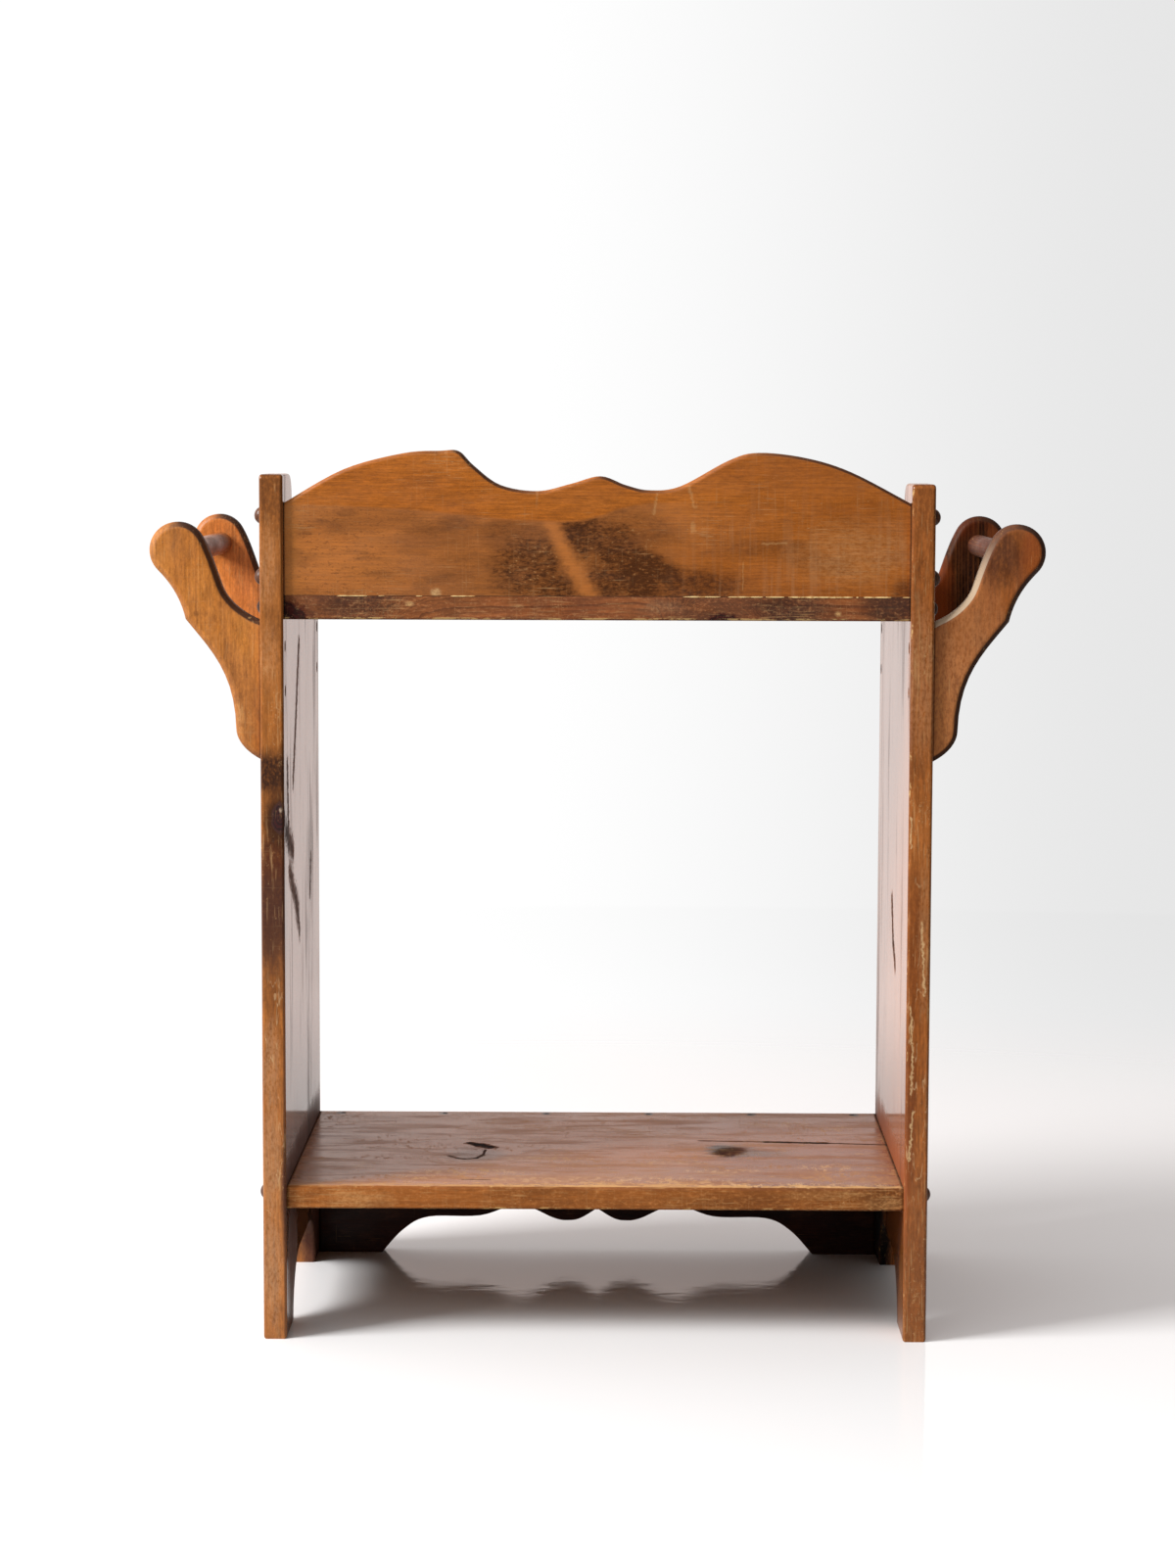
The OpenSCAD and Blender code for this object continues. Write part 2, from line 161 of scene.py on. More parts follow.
@shader_group
def RINGS(w, point: VECTOR, pith: VECTOR, ring_width: NUMBER, wander: NUMBER, push: NUMBER):
    """Growth rings of a board as a slice of a trunk: X along the grain, Y across, Z through the board."""
    slow = w.noise(point, (2.2, 9, 9), 3, output="Color")
    _, sway_across, sway_deep = w.split(w.vector("SUBTRACT", slow, (0.5, 0.5, 0.5)))
    _, across, deep = w.split(w.vector("SUBTRACT", point, pith))
    across = w.times_plus(sway_across, wander, across)
    deep = w.times_plus(sway_deep, wander, deep)
    radius = w.math("SQRT", w.plus(w.times(across, across), w.times(deep, deep)))
    radius = w.plus(radius, push)
    uneven = w.noise(w.join(w.times(radius, 90), 0, 0), detail=1)
    count = w.times_plus(uneven, 2.4, w.math("DIVIDE", radius, ring_width))
    part = w.math("FRACT", count)
    late = w.times(w.ease(part, 0.3, 0.9), w.ease(part, 0.92, 1, 1, 0))
    year = w.put("ShaderNodeTexWhiteNoise", {"W": w.math("FLOOR", count)}, noise_dimensions="1D").outputs[0]
    return {"Late wood": w.times(late, w.times_plus(year, 0.6, 0.4))}


@shader_group
def FIBRE(w, point: VECTOR):
    """Fine streaks, dark pores, soft mottling and grimy blotches of old pine, with X along the grain."""
    return {"Streaks": w.noise(point, (48, 520, 520), 5, 0.7),
            "Pores": w.ease(w.noise(point, (110, 1500, 1500)), 0.58, 0.7),
            "Mottle": w.ease(w.noise(point, (8, 30, 30), 6, 0.65), 0.3, 0.7),
            "Grime": w.ease(w.noise(point, (26, 70, 70), 6, 0.7), 0.48, 0.68),
            "Speckle": w.noise(point, (260, 480, 480), 4, 0.75),
            "Bloom": w.ease(w.noise(point, (12, 34, 34), 5, 0.65), 0.38, 0.64)}


@shader_group
def PATCH(w, point: VECTOR, centre: VECTOR, reach: VECTOR, turn: NUMBER, ragged: NUMBER):
    """A soft, ragged oval: 1 in its middle and 0 outside."""
    place = w.vector("SUBTRACT", point, centre)
    turned = w.put("ShaderNodeVectorRotate", {"Vector": place, "Angle": turn},
                   rotation_type="Z_AXIS").outputs[0]
    far = w.vector("LENGTH", w.vector("DIVIDE", turned, reach))
    rough = w.noise(point, (45, 130, 130), 6, 0.7)
    far = w.times_plus(w.minus(rough, 0.5), ragged, far)
    return {"Mask": w.ease(far, 0.3, 1, 1, 0)}


@shader_group
def STROKE(w, point: VECTOR, start: VECTOR, finish: VECTOR,
           width: NUMBER, softness: NUMBER, ragged: NUMBER):
    """A stroke from one point to another, such as a crack, a scratch or a pale streak."""
    rough = w.noise(point, (260, 260, 260), 3, output="Color")
    shift = w.scale(w.vector("SUBTRACT", rough, (0.5, 0.5, 0.5)), w.times(width, ragged))
    way = w.vector("SUBTRACT", finish, start)
    gone = w.vector("SUBTRACT", w.vector("ADD", point, shift), start)
    done = w.vector("DOT_PRODUCT", gone, way)
    share = w.math("DIVIDE", done, w.vector("DOT_PRODUCT", way, way), clamp=True)
    off = w.vector("LENGTH", w.vector("SUBTRACT", gone, w.scale(way, share)))
    off = w.math("DIVIDE", off, width)
    soft = w.times(softness, 0.5)
    return {"Mask": w.ease(off, w.minus(0.5, soft), w.plus(0.5, soft), 1, 0)}


@shader_group
def KNOT(w, point: VECTOR, centre: VECTOR, reach: VECTOR):
    """A knot through the board: its dark heart, the halo round it, and how it pushes the rings."""
    place = w.vector("SUBTRACT", point, centre)
    wobble = w.noise(point, (150, 150, 150), 4, 0.6)
    far = w.vector("LENGTH", w.vector("DIVIDE", place, reach))
    far = w.times_plus(w.minus(wobble, 0.5), 0.7, far)
    fall = w.math("EXPONENT", w.times(w.times(far, far), -0.2))
    _, across, _ = w.split(reach)
    return {"Heart": w.ease(far, 0.65, 1.05, 1, 0), "Halo": w.ease(far, 0.8, 2.6, 1, 0),
            "Push": w.times(w.times(fall, across), 1.6),
            "Rings": w.ease(w.math("SINE", w.times(far, 22)), -0.4, 0.9)}


@shader_group
def ARRIS(w, face_axis: VECTOR, grain_axis: VECTOR):
    """Where a board's surface turns: its rounded arrises, its end grain, its rim, and the side of it that
    faces away from the lamp on the left, which gets painted shade."""
    normal = w.coordinates("Normal")
    facing = w.size(w.vector("DOT_PRODUCT", normal, face_axis))
    along = w.size(w.vector("DOT_PRODUCT", normal, grain_axis))
    aside = w.math("SQRT", w.minus(1, w.times(facing, facing), clamp=True))
    return {"Arris": w.ease(w.times(w.times(facing, aside), 2), 0.35, 1),
            "End grain": w.ease(along, 0.3, 0.95), "Rim": w.ease(facing, 0.88, 0.97, 1, 0),
            "Lee": w.ease(w.split(normal)[0], -0.25, 0.2)}


@shader_group
def SCUFFS(w, point: VECTOR, amount: NUMBER):
    """Small pale chips and scratches that gather in places."""
    gathered = w.times(w.minus(w.noise(point, (13, 20, 20), 5, 0.65), 0.5), 0.55)
    level = w.times_plus(amount, 0.2, gathered)
    return {"Chips": w.ease(w.plus(w.noise(point, (300, 560, 560), 4, 0.75), level), 0.72, 0.84),
            "Along": w.ease(w.plus(w.noise(point, (40, 900, 900), 3), level), 0.7, 0.85),
            "Across": w.ease(w.plus(w.noise(point, (700, 30, 30), 3), level), 0.68, 0.86)}


@shader_group
def SEAM(w, place: NUMBER, joint: NUMBER, width: NUMBER):
    """Dirt in the line where two boards meet, at the same distance on both sides of the stand's middle."""
    off = w.size(w.minus(w.size(place), joint))
    return {"Mask": w.ease(off, 0, width, 1, 0)}


HONEY = (198, 126, 57)
AMBER = (180, 108, 44)
RING_BROWN = (136, 78, 36)
SMOKE = (92, 54, 30)
UMBER = (50, 28, 19)
KNOT_RED = (60, 16, 16)
DARK_HEART = (36, 11, 11)
CRACK_BLACK = (20, 13, 11)
PALE_WEAR = (205, 160, 104)
BARE_PINE = (236, 196, 128)


def mm(*values):
    """Millimetres as metres."""
    return tuple(value / 1000 for value in values)


class Board:
    """Stained and varnished pine of one board, built up layer by layer.

    lay gives which of the object's axes run along the grain, across the board's face and through its
    thickness. A place is (along, across, through). Places, reaches and widths are in millimetres, and
    tones are screen values of 0 to 255."""

    def __init__(self, name, lay, shift=(0, 0, 0)):
        self.material = bpy.data.materials.new(name)
        self.material.use_nodes = True
        self.w = w = Wires(self.material.node_tree)
        self.shader = w.tree.nodes["Principled BSDF"]
        self.axes = dict(zip("XYZ", w.split(w.coordinates())))
        self.point = w.join(*(self.axes[letter] for letter in lay))
        self.drift = w.vector("ADD", self.point, shift)
        unit = {"X": (1, 0, 0), "Y": (0, 1, 0), "Z": (0, 0, 1)}
        self.fibre = w.group(FIBRE, point=self.drift)
        self.turn = w.group(ARRIS, face_axis=unit[lay[2]], grain_axis=unit[lay[0]])
        self.knots = []
        self.push = 0
        self.dull = 0
        self.sunk = 0
        self.colour = None

    def knot(self, centre, reach):
        """Adds a knot. Knots come before grain(), because the rings run round them."""
        knot = self.w.group(KNOT, point=self.point, centre=mm(*centre), reach=mm(*reach))
        self.push = self.w.plus(self.push, knot["Push"])
        self.knots.append(knot)

    def patch(self, centre, reach, ragged, turn=0):
        """The mask of a soft, ragged oval."""
        return self.w.group(PATCH, point=self.point, centre=mm(*centre), reach=mm(*reach), turn=turn,
                            ragged=ragged)["Mask"]

    def line(self, start, finish, width, softness, ragged):
        """The mask of a stroke from one place to another."""
        return self.w.group(STROKE, point=self.point, start=mm(*start), finish=mm(*finish),
                            width=width / 1000, softness=softness, ragged=ragged)["Mask"]

    def near_plane(self, letter, place, inner, outer):
        """The mask of the places that are nearer to a plane than a width, with a soft limit."""
        off = self.w.size(self.w.minus(self.axes[letter], place / 1000))
        return self.w.ease(off, inner / 1000, outer / 1000, 1, 0)

    def matten(self, mask, dull):
        """Takes off the gloss where a mask is."""
        self.dull = self.w.most(self.dull, mask if dull == 1 else self.w.times(mask, dull))

    def lay_over(self, mask, strength, tone, dull=0):
        """Lays a tone over the wood where a mask is, and takes off some of the gloss there."""
        share = self.w.times(mask, strength, clamp=True)
        self.colour = self.w.blend(share, self.colour, paint(*tone) if isinstance(tone, tuple) else tone)
        if dull:
            self.matten(share, dull)
        return share

    def grain(self, light, deep, ring=RING_BROWN, pith=(0, 300, -200), ring_width=2.6, wander=14,
              ring_strength=0.35, streak=0.16, grime=0.35):
        """The plain wood: mottled stain, growth rings, fine streaks and pores."""
        w = self.w
        self.late = w.group(RINGS, point=self.point, pith=mm(*pith), ring_width=ring_width / 1000,
                            wander=wander / 1000, push=self.push)["Late wood"]
        self.colour = w.blend(self.fibre["Mottle"], paint(*deep), paint(*light))
        self.lay_over(self.late, ring_strength, ring)
        self.lay_over(self.fibre["Grime"], grime, SMOKE)
        shade = w.ease(self.fibre["Streaks"], 0.3, 0.7, 1 - streak, 1 + streak)
        shade = w.times(shade, w.ease(self.fibre["Speckle"], 0.3, 0.7, 0.88, 1.12))
        self.colour = w.blend(1, self.colour, w.join(shade, shade, shade), "MULTIPLY")
        self.lay_over(self.fibre["Pores"], 0.3, SMOKE)

    def stain(self, centre, reach, strength, tone=SMOKE, speckle=0.6, dull=0, ragged=0.7):
        """A dark, speckled patch where the stain took more or dirt has gathered."""
        fleck = self.w.ease(self.fibre["Speckle"], 0.42, 0.68, 1, 1 - speckle)
        self.lay_over(self.w.times(self.patch(centre, reach, ragged), fleck), strength, tone, dull)

    def stains(self, *rows):
        for row in rows:
            self.stain(*row)

    def rub(self, centre, reach, strength, tone=PALE_WEAR):
        """A worn, dull and paler patch."""
        fleck = self.w.ease(self.fibre["Speckle"], 0.35, 0.62, 0.25, 1)
        self.lay_over(self.w.times(self.patch(centre, reach, 0.9), fleck), strength, tone, 1)

    def stroke(self, start, finish, width, strength, tone, softness, ragged, dull=0):
        return self.lay_over(self.line(start, finish, width, softness, ragged), strength, tone, dull)

    def cracks(self, height, *rows):
        """Open cracks in a level face, dark, dull and sunk, as (x, y, end x, end y, width, strength)."""
        for x, y, end_x, end_y, width, strength in rows:
            start, finish = (x, y, height), (end_x, end_y, height)
            share = self.stroke(start, finish, width, strength, CRACK_BLACK, 0.5, 0.8, 1)
            self.sunk = self.w.most(self.sunk, share)

    def flakes(self, height, width, amount):
        """Bare wood where the arris at a height has been knocked, in dashes along it."""
        w = self.w
        band = self.near_plane("Z", height, width * 0.4, width)
        dashes = w.noise(self.drift, (60, 200, 200), 4, 0.7)
        dashes = w.ease(w.times_plus(amount, 0.3, dashes), 0.68, 0.74)
        self.lay_over(w.times(band, dashes), 0.75, BARE_PINE, 1)

    def hearts(self, halo=0.5):
        """The dark hearts of the knots."""
        for knot in self.knots:
            self.lay_over(knot["Halo"], halo, SMOKE)
            dark = self.w.blend(knot["Rings"], paint(*KNOT_RED), paint(*DARK_HEART))
            self.lay_over(knot["Heart"], 0.95, dark, 0.8)

    def seams(self, *joints):
        """Dirt where the board meets its neighbours, as (axis, place, width)."""
        for letter, place, width in joints:
            seam = self.w.group(SEAM, place=self.axes[letter], joint=place / 1000, width=width / 1000)
            self.lay_over(seam["Mask"], 0.9, CRACK_BLACK, 1)

    def finish(self, end_dark=0.6, arris_dark=0.3, wear=0.3, chips=0.3, across=0.2, gloss=0.22, dull=0.3,
               specular=0.5, rim_dull=0.1, rim_shade=0, relief=0.2, face_marks=1):
        """End grain, worn arrises, chips and scratches, painted shade on the rims and end grain that face
        away from the lamp, and the varnish over it all.
        """
        w = self.w
        # Painted shade: end grain is stained darker, and darker still where it faces away from the lamp on
        # the left; rims facing that way are darkened too.
        lee_shade = w.ease(self.turn["Lee"], 0, 1, 0.45, 1)
        self.lay_over(w.times(self.turn["End grain"], lee_shade), end_dark, UMBER)
        self.lay_over(w.times(self.turn["Rim"], self.turn["Lee"]), rim_shade, UMBER)
        self.lay_over(self.turn["Arris"], arris_dark, SMOKE)
        worn = w.noise(self.drift, (60, 260, 260), 5, 0.75)
        worn = w.ease(w.times_plus(wear, 0.3, worn), 0.66, 0.76)
        bare = self.lay_over(w.times(worn, self.turn["Arris"]), 0.85, BARE_PINE)
        scuffs = w.group(SCUFFS, point=self.drift, amount=chips)
        marks = w.most(scuffs["Chips"], w.times(scuffs["Along"], 0.7))
        marks = w.most(marks, w.times(scuffs["Across"], across))
        marks = w.times(marks, w.ease(self.turn["Rim"], 0, 1, face_marks, 1))
        marks = self.lay_over(marks, 0.5, PALE_WEAR)
        self.shader.inputs["Specular IOR Level"].default_value = specular
        w.feed(self.shader.inputs["Base Color"], self.colour)
        matt = w.most(w.most(bare, marks), self.dull)
        rough = w.times_plus(self.fibre["Bloom"], dull, gloss)
        rough = w.times_plus(self.turn["Rim"], rim_dull, rough)
        w.feed(self.shader.inputs["Roughness"], w.math("ADD", rough, matt, clamp=True))
        height = w.times_plus(self.fibre["Streaks"], 0.5, w.times(self.late, 0.3))
        height = w.minus(height, w.times(w.plus(marks, self.fibre["Pores"]), 0.4))
        height = w.minus(height, w.times(self.sunk, 4))
        w.feed(self.shader.inputs["Normal"], w.relief(height, relief, 0.0005))
        return self.material


def plain_material(name):
    """A new material with its wires, its shader and its point."""
    material = bpy.data.materials.new(name)
    material.use_nodes = True
    w = Wires(material.node_tree)
    return material, w, w.tree.nodes["Principled BSDF"], w.coordinates()


def metal(name, tone, roughness, rust=0, metallic=0.9):
    """Dull steel with tarnish in its hollows."""
    material, w, shader, point = plain_material(name)
    shader.inputs["Metallic"].default_value = metallic
    blotch = w.ease(w.noise(point, detail=4, scale=420), 0.4, 0.65)
    colour = w.blend(w.times(blotch, 0.4 + rust), paint(*tone), paint(70, 48, 38))
    w.feed(shader.inputs["Base Color"], colour)
    w.feed(shader.inputs["Roughness"], w.ease(blotch, 0, 1, roughness, roughness + 0.25))
    w.feed(shader.inputs["Normal"], w.relief(blotch, 0.15, 0.0003))
    return material


def glue(name):
    """Dried yellow glue, a little dirty."""
    material, w, shader, point = plain_material(name)
    dirt = w.ease(w.noise(point, detail=3, scale=260), 0.45, 0.7)
    w.feed(shader.inputs["Base Color"], w.blend(dirt, paint(240, 206, 144), paint(196, 146, 84)))
    w.feed(shader.inputs["Roughness"], w.ease(dirt, 0, 1, 0.35, 0.6))
    w.feed(shader.inputs["Normal"], w.relief(dirt, 0.2, 0.0003))
    return material


# Woods of the separate boards, in millimetres. Places are along the grain, across the face and through
# the board. A stain's row is its centre, reach, strength, tone, speckle and dullness.

NEAR = -165  # the panels' edges towards the camera
FACE = -159  # the shelves' and the splash board's faces towards the camera
INNER = 251  # the panels' inner faces
OUTER = 270  # the panels' outer faces
EDGE = 260.5  # the middle of a panel's edge


def smoky_streaks(wood, inside, strength):
    """Long, faint dark streaks up and down a panel's inner face."""
    streaks = wood.w.ease(wood.w.noise(wood.drift, (3.5, 26, 10), 4, 0.55), 0.48, 0.66)
    wood.lay_over(wood.w.times(streaks, wood.near_plane("X", inside, 0.5, 1)), strength, UMBER, 0.3)


def wiggly_scratches(wood, low, high, strength):
    """Thin, broken, pale scratches that wander along a panel's near edge between two heights in metres."""
    w = wood.w
    field = w.noise(wood.drift, (20, 150, 110), 3)
    line = w.ease(w.size(w.minus(field, 0.5)), 0.004, 0.015, 1, 0)
    gaps = w.ease(w.noise(wood.drift, (34, 90, 90), 4), 0.49, 0.57)
    zone = w.times(w.ease(wood.axes["Z"], low - 0.02, low + 0.02),
                   w.ease(wood.axes["Z"], high - 0.02, high + 0.02, 1, 0))
    share = w.times(w.times(line, gaps), w.times(zone, wood.turn["Rim"]))
    wood.lay_over(share, strength, (222, 184, 134), 1)


def left_panel_wood():
    """Its near edge has a bark pocket and a long dark stretch; dark strokes run over the inner face."""
    wood = Board("left panel pine", "ZYX")
    wood.knot((427, NEAR, -254.5), (14, 10, 7.5))
    wood.grain((178, 110, 52), (156, 93, 42), pith=(0, 90, -330), wander=20, streak=0.25)
    wood.stains(
        ((690, NEAR, -EDGE), (45, 30, 30), 0.6),
        ((352, NEAR, -EDGE), (68, 35, 40), 1, (80, 48, 36), 0.1),
        ((300, NEAR, -EDGE), (50, 35, 40), 0.45, (96, 60, 40), 0.5),
        ((400, NEAR, -257), (28, 50, 20), 0.9, (82, 42, 28), 0.3),
        ((424, NEAR, -255.5), (28, 50, 17), 1.2, (42, 24, 18), 0.2),
        ((464, NEAR, -EDGE), (26, 30, 40), 1, (58, 35, 25), 0.3),
        # Painted shade: the far foot, the near foot's inner face and the inner face along the bottom shelf,
        # above and below it, are darkened.
        ((45, 110, -254), (130, 90, 13), 0.95, (84, 42, 28), 0.1, 0.7),
        ((60, -110, -INNER), (110, 60, 6), 0.8, (104, 44, 20), 0.2, 0.5),
        ((126, -165, -INNER), (75, 360, 6), 0.8, (60, 26, 12), 0.1, 0.15),
        ((126, 0, -INNER), (35, 450, 6), 0.85, (92, 42, 20), 0.1, 0.55),
        ((430, -148, -INNER), (60, 30, 6), 0.6, UMBER, 0.2, 0.2))
    for z, reach, strength in (
            (630, 50, 0.25), (560, 40, 0.2), (225, 50, 0.35), (150, 60, 0.4), (60, 70, 0.45)):
        wood.rub((z, NEAR, -262.5), (reach, 30, 10), strength, (196, 150, 108))
    smoky_streaks(wood, -INNER, 0.65)
    for z, y, end_z, end_y, width in (
            (415, -150, 392, -90, 18), (379, -120, 348, -66, 16), (348, -66, 334, -46, 20),
            (334, -46, 318, -34, 13), (366, 76, 338, 68, 12), (468, -136, 398, -126, 12),
            (560, -28, 450, -85, 12)):
        wood.stroke((z, y, -INNER), (end_z, end_y, -INNER), width, 0.7, UMBER, 1, 1.6, 1)
    wood.hearts()
    # Painted highlight: a pale glint in the bark pocket.
    wood.rub((434, NEAR, -253.5), (3, 20, 2), 0.9, (200, 176, 150))
    wiggly_scratches(wood, 0.1, 0.29, 0.45)
    return wood.finish(wear=0.1, chips=0.4, gloss=0.05, dull=0.06, specular=0.45, relief=0.03,
                       face_marks=0.05)


def right_panel_wood():
    """Its near edge is browner, with pale scratches along it."""
    wood = Board("right panel pine", "ZYX", shift=(3, 1, 2))
    wood.grain((172, 102, 48), (144, 80, 34), pith=(0, -70, 340), wander=20, streak=0.3)
    wood.stains(
        ((690, NEAR, EDGE), (50, 30, 30), 0.5, (112, 60, 28)),
        # Painted shade: the far foot is made near black.
        ((45, 110, 254), (130, 100, 13), 1, (12, 4, 2), 0, 0.8),
        ((190, NEAR, 254.5), (100, 30, 8), 0.6, (104, 48, 20), 0.2),
        ((330, NEAR, 257), (80, 30, 8), 0.5, (112, 56, 26), 0.3))
    wood.rub((540, NEAR, EDGE), (80, 30, 30), 0.4, (196, 136, 86))
    wood.stain((50, NEAR, EDGE), (100, 30, 40), 0.45, (108, 62, 30), 0.4)
    wood.rub((330, NEAR, 265), (80, 30, 8), 0.35, (180, 128, 80))
    wood.stains(
        # Painted shade along the bottom shelf, above and below it, on the inner face.
        ((126, -165, INNER), (75, 360, 6), 0.7, (150, 76, 28), 0.1, 0.15),
        ((126, 0, INNER), (35, 450, 6), 0.8, (144, 70, 24), 0.1, 0.55),
        ((530, 0, INNER), (240, 400, 6), 0.5, (112, 60, 26), 0.1))
    smoky_streaks(wood, INNER, 0.55)
    for z, x, end_z, end_x, width in (
            (276, 254.5, 235, 256.5, 1.3), (235, 256.5, 205, 255.5, 1.6), (345, 262.5, 318, 264, 1.5),
            (318, 264, 285, 265.5, 1.3), (190, 257, 150, 254.5, 1.5), (430, 253, 405, 253.5, 1.2)):
        wood.stroke((z, NEAR, x), (end_z, NEAR, end_x), width, 0.8, (216, 178, 128), 0.8, 3.5)
    wiggly_scratches(wood, 0.12, 0.38, 0.42)
    for z, y, end_z, end_y, width in ((341, -4, 310, -19, 14), (310, -19, 292, -43, 12)):
        wood.stroke((z, y, INNER), (end_z, end_y, INNER), width, 0.85, UMBER, 0.8, 1.2, 1)
    return wood.finish(wear=0.25, chips=0.65, across=0.1, gloss=0.05, dull=0.06, specular=0.38, relief=0.03,
                       face_marks=0.05)


def splash_wood():
    """Clean orange sapwood over dirty heartwood, with a pale streak between two dark smudges."""
    wood = Board("splash board pine", "XZY", shift=(1, 4, 0))
    w, across, up = wood.w, wood.axes["X"], wood.axes["Z"]
    wood.grain((184, 106, 36), (166, 92, 28), pith=(0, 440, -190), ring_width=2.4, wander=20,
               ring_strength=0.34, streak=0.2, grime=0.14)

    # The heartwood lies below a curve, on the left two thirds
    edge = w.put("ShaderNodeFloatCurve", {"Value": w.times_plus(across, 2, 0.5)})
    curve = edge.mapping.curves[0]
    curve.points[0].location = (0, 0.8)
    curve.points[1].location = (1, 0.85)
    for x, z in (
            (0.17, 0.74), (0.33, 0.6), (0.4, 0.55), (0.455, 0.545), (0.5, 0.62), (0.54, 0.75), (0.6, 0.84)):
        curve.points.new(x, z)
    edge.mapping.update()
    below = w.minus(w.times_plus(edge.outputs[0], 0.05, 0.64), up)
    heart = w.times(w.ease(below, -0.0005, 0.0025), w.ease(across, 0.03, 0.11, 1, 0))
    wood.lay_over(heart, 0.35, (188, 124, 74))
    wood.lay_over(w.times(heart, wood.fibre["Grime"]), 0.35, SMOKE)
    specks = w.times(w.ease(wood.fibre["Speckle"], 0.53, 0.63), w.ease(across, -0.24, -0.06, 1, 0.4))
    wood.lay_over(w.times(heart, specks), 0.5, SMOKE)

    dark = 0
    for x, z, reach_x, reach_z, turn, strength in (
            (-54, 630, 60, 50, 0, 0.8), (-98, 620, 62, 46, 0, 0.42), (-30, 613, 38, 26, 0, 0.85),
            (-66, 657, 52, 19, 0, 0.6), (-120, 655, 70, 22, -0.2, 0.4), (-180, 668, 80, 16, -0.1, 0.32),
            (-150, 625, 70, 18, 0, 0.22), (-12, 653, 33, 32, 0, 0.9), (12, 648, 42, 34, 0, 0.82),
            (36, 660, 44, 22, 0, 0.5), (14, 640, 28, 18, 0, 0.92), (34, 622, 36, 34, 0, 1),
            (46, 629, 56, 18, 0.5, 1), (8, 618, 42, 32, 0, 0.85), (80, 612, 62, 24, 0, 0.85),
            (132, 645, 56, 12, 0, 0.5), (172, 635, 50, 10, 0.15, 0.35), (0, 606, 300, 14, 0, 0.35),
            (249, 610, 18, 16, 0, 0.9)):
        patch = wood.patch((x, z, FACE), (reach_x, reach_z, 500), 0.6, turn)
        dark = w.most(dark, w.times(patch, strength))
    pale = 0
    for x, z, end_x, end_z, width in (
            (-40, 672, -30, 650, 10), (-30, 650, -20, 631, 11), (-20, 631, -3, 602, 13)):
        pale = w.most(pale, wood.line((x, z, FACE), (end_x, end_z, FACE), width, 0.85, 0.8))
    wood.lay_over(w.times(pale, w.ease(below, 0, 0.006)), 0.5, (188, 112, 48))
    dark = w.times(dark, w.minus(1, w.times(pale, 0.95)))
    dark = w.times(dark, w.ease(below, -0.0005, 0.003))
    hairs = w.noise(wood.drift, (150, 460, 460), 5, 0.75)
    cloud = w.times(w.ease(hairs, 0.3, 0.7, 1.18, 0.79), w.ease(wood.fibre["Speckle"], 0.3, 0.7, 1.18, 0.79))
    dark = w.times(dark, cloud, clamp=True)
    wood.lay_over(dark, 0.93, (78, 40, 13))
    wood.lay_over(w.ease(dark, 0.65, 1.05), 0.45, (42, 22, 11))
    wood.lay_over(w.ease(across, -0.04, 0.24), 0.35, (140, 74, 24))
    for x, z, reach_x, reach_z, strength in ((-52, 626, 34, 36, 0.6), (20, 640, 60, 50, 0.3)):
        spot = wood.patch((x, z, FACE), (reach_x, reach_z, 500), 0.8)
        wood.lay_over(w.times(w.ease(wood.fibre["Speckle"], 0.6, 0.68), spot), strength, PALE_WEAR)

    # Wiped streaks on the right side, and scratches
    wipes = w.times(w.ease(w.noise(wood.drift, (260, 14, 260), 3), 0.48, 0.7), w.ease(across, 0.04, 0.11))
    wood.lay_over(w.times(wipes, w.ease(up, 0.63, 0.7, 1, 0.2)), 0.3, (176, 124, 82))
    for x, z, end_x, end_z, width in (
            (48, 688, 45, 673, 1.8), (73, 694, 78, 678, 2.2), (76.5, 664, 77.5, 659, 3),
            (132, 648.5, 152, 649.5, 1.4), (117, 634, 116.5, 612, 0.9)):
        wood.stroke((x, z, FACE), (end_x, end_z, FACE), width, 0.33, PALE_WEAR, 1, 2.5)
    wood.rub((205, 640, FACE), (60, 35, 500), 0.22)
    # Painted light: the left end is lightened where the left panel casts its shadow.
    wood.lay_over(w.ease(across, -0.251, -0.232, 1, 0), 0.5, (220, 140, 66))
    wood.rub((-129, 609, FACE), (6, 5, 500), 0.6, (226, 190, 132))
    wood.seams(("X", INNER, 1.6), ("Z", 606, 1))
    return wood.finish(end_dark=0.4, arris_dark=0.1, wear=0.1, chips=0.35, across=0.3, gloss=0.25, dull=0.2,
                       specular=0.35, rim_dull=0.2, rim_shade=0.85)


def top_shelf_wood():
    """Dark brown, with knots at its edge and pale chips along its lower arris."""
    wood = Board("top shelf pine", "XYZ", shift=(0, 2, 5))
    w = wood.w
    wood.knot((-255, FACE, 586), (30, 50, 20))
    wood.knot((101, FACE, 586), (14, 50, 8.5))
    wood.grain((162, 94, 47), (130, 70, 34), (82, 42, 22), pith=(0, -20, 500), wander=24, ring_strength=0.75,
               streak=0.2)
    wood.stains(
        ((-192, FACE, 600), (50, 100, 22), 0.75, (60, 35, 24), 0.45),
        ((-130, FACE, 600), (60, 100, 16), 0.35, (86, 54, 36)),
        ((85, FACE, 598), (60, 100, 18), 0.6, (80, 48, 30), 0.8),
        ((155, FACE, 596), (46, 100, 20), 0.85, (60, 34, 24), 0.5),
        ((240, FACE, 600), (42, 100, 26), 0.85, (54, 31, 22), 0.4))
    wood.rub((-150, FACE, 600), (5, 20, 3), 0.9)
    wood.rub((193, FACE, 593), (3.5, 20, 3), 0.9)
    wood.rub((52, FACE, 598), (26, 20, 8), 0.3, (150, 118, 90))
    wood.hearts(0.2)
    wood.lay_over(w.times(wood.turn["Rim"], w.ease(wood.fibre["Speckle"], 0.56, 0.64)), 0.2, (190, 150, 104))
    wood.flakes(587.4, 2, 0.62)
    wood.seams(("X", INNER, 2))
    return wood.finish(chips=0.5, gloss=0.3, specular=0.3)


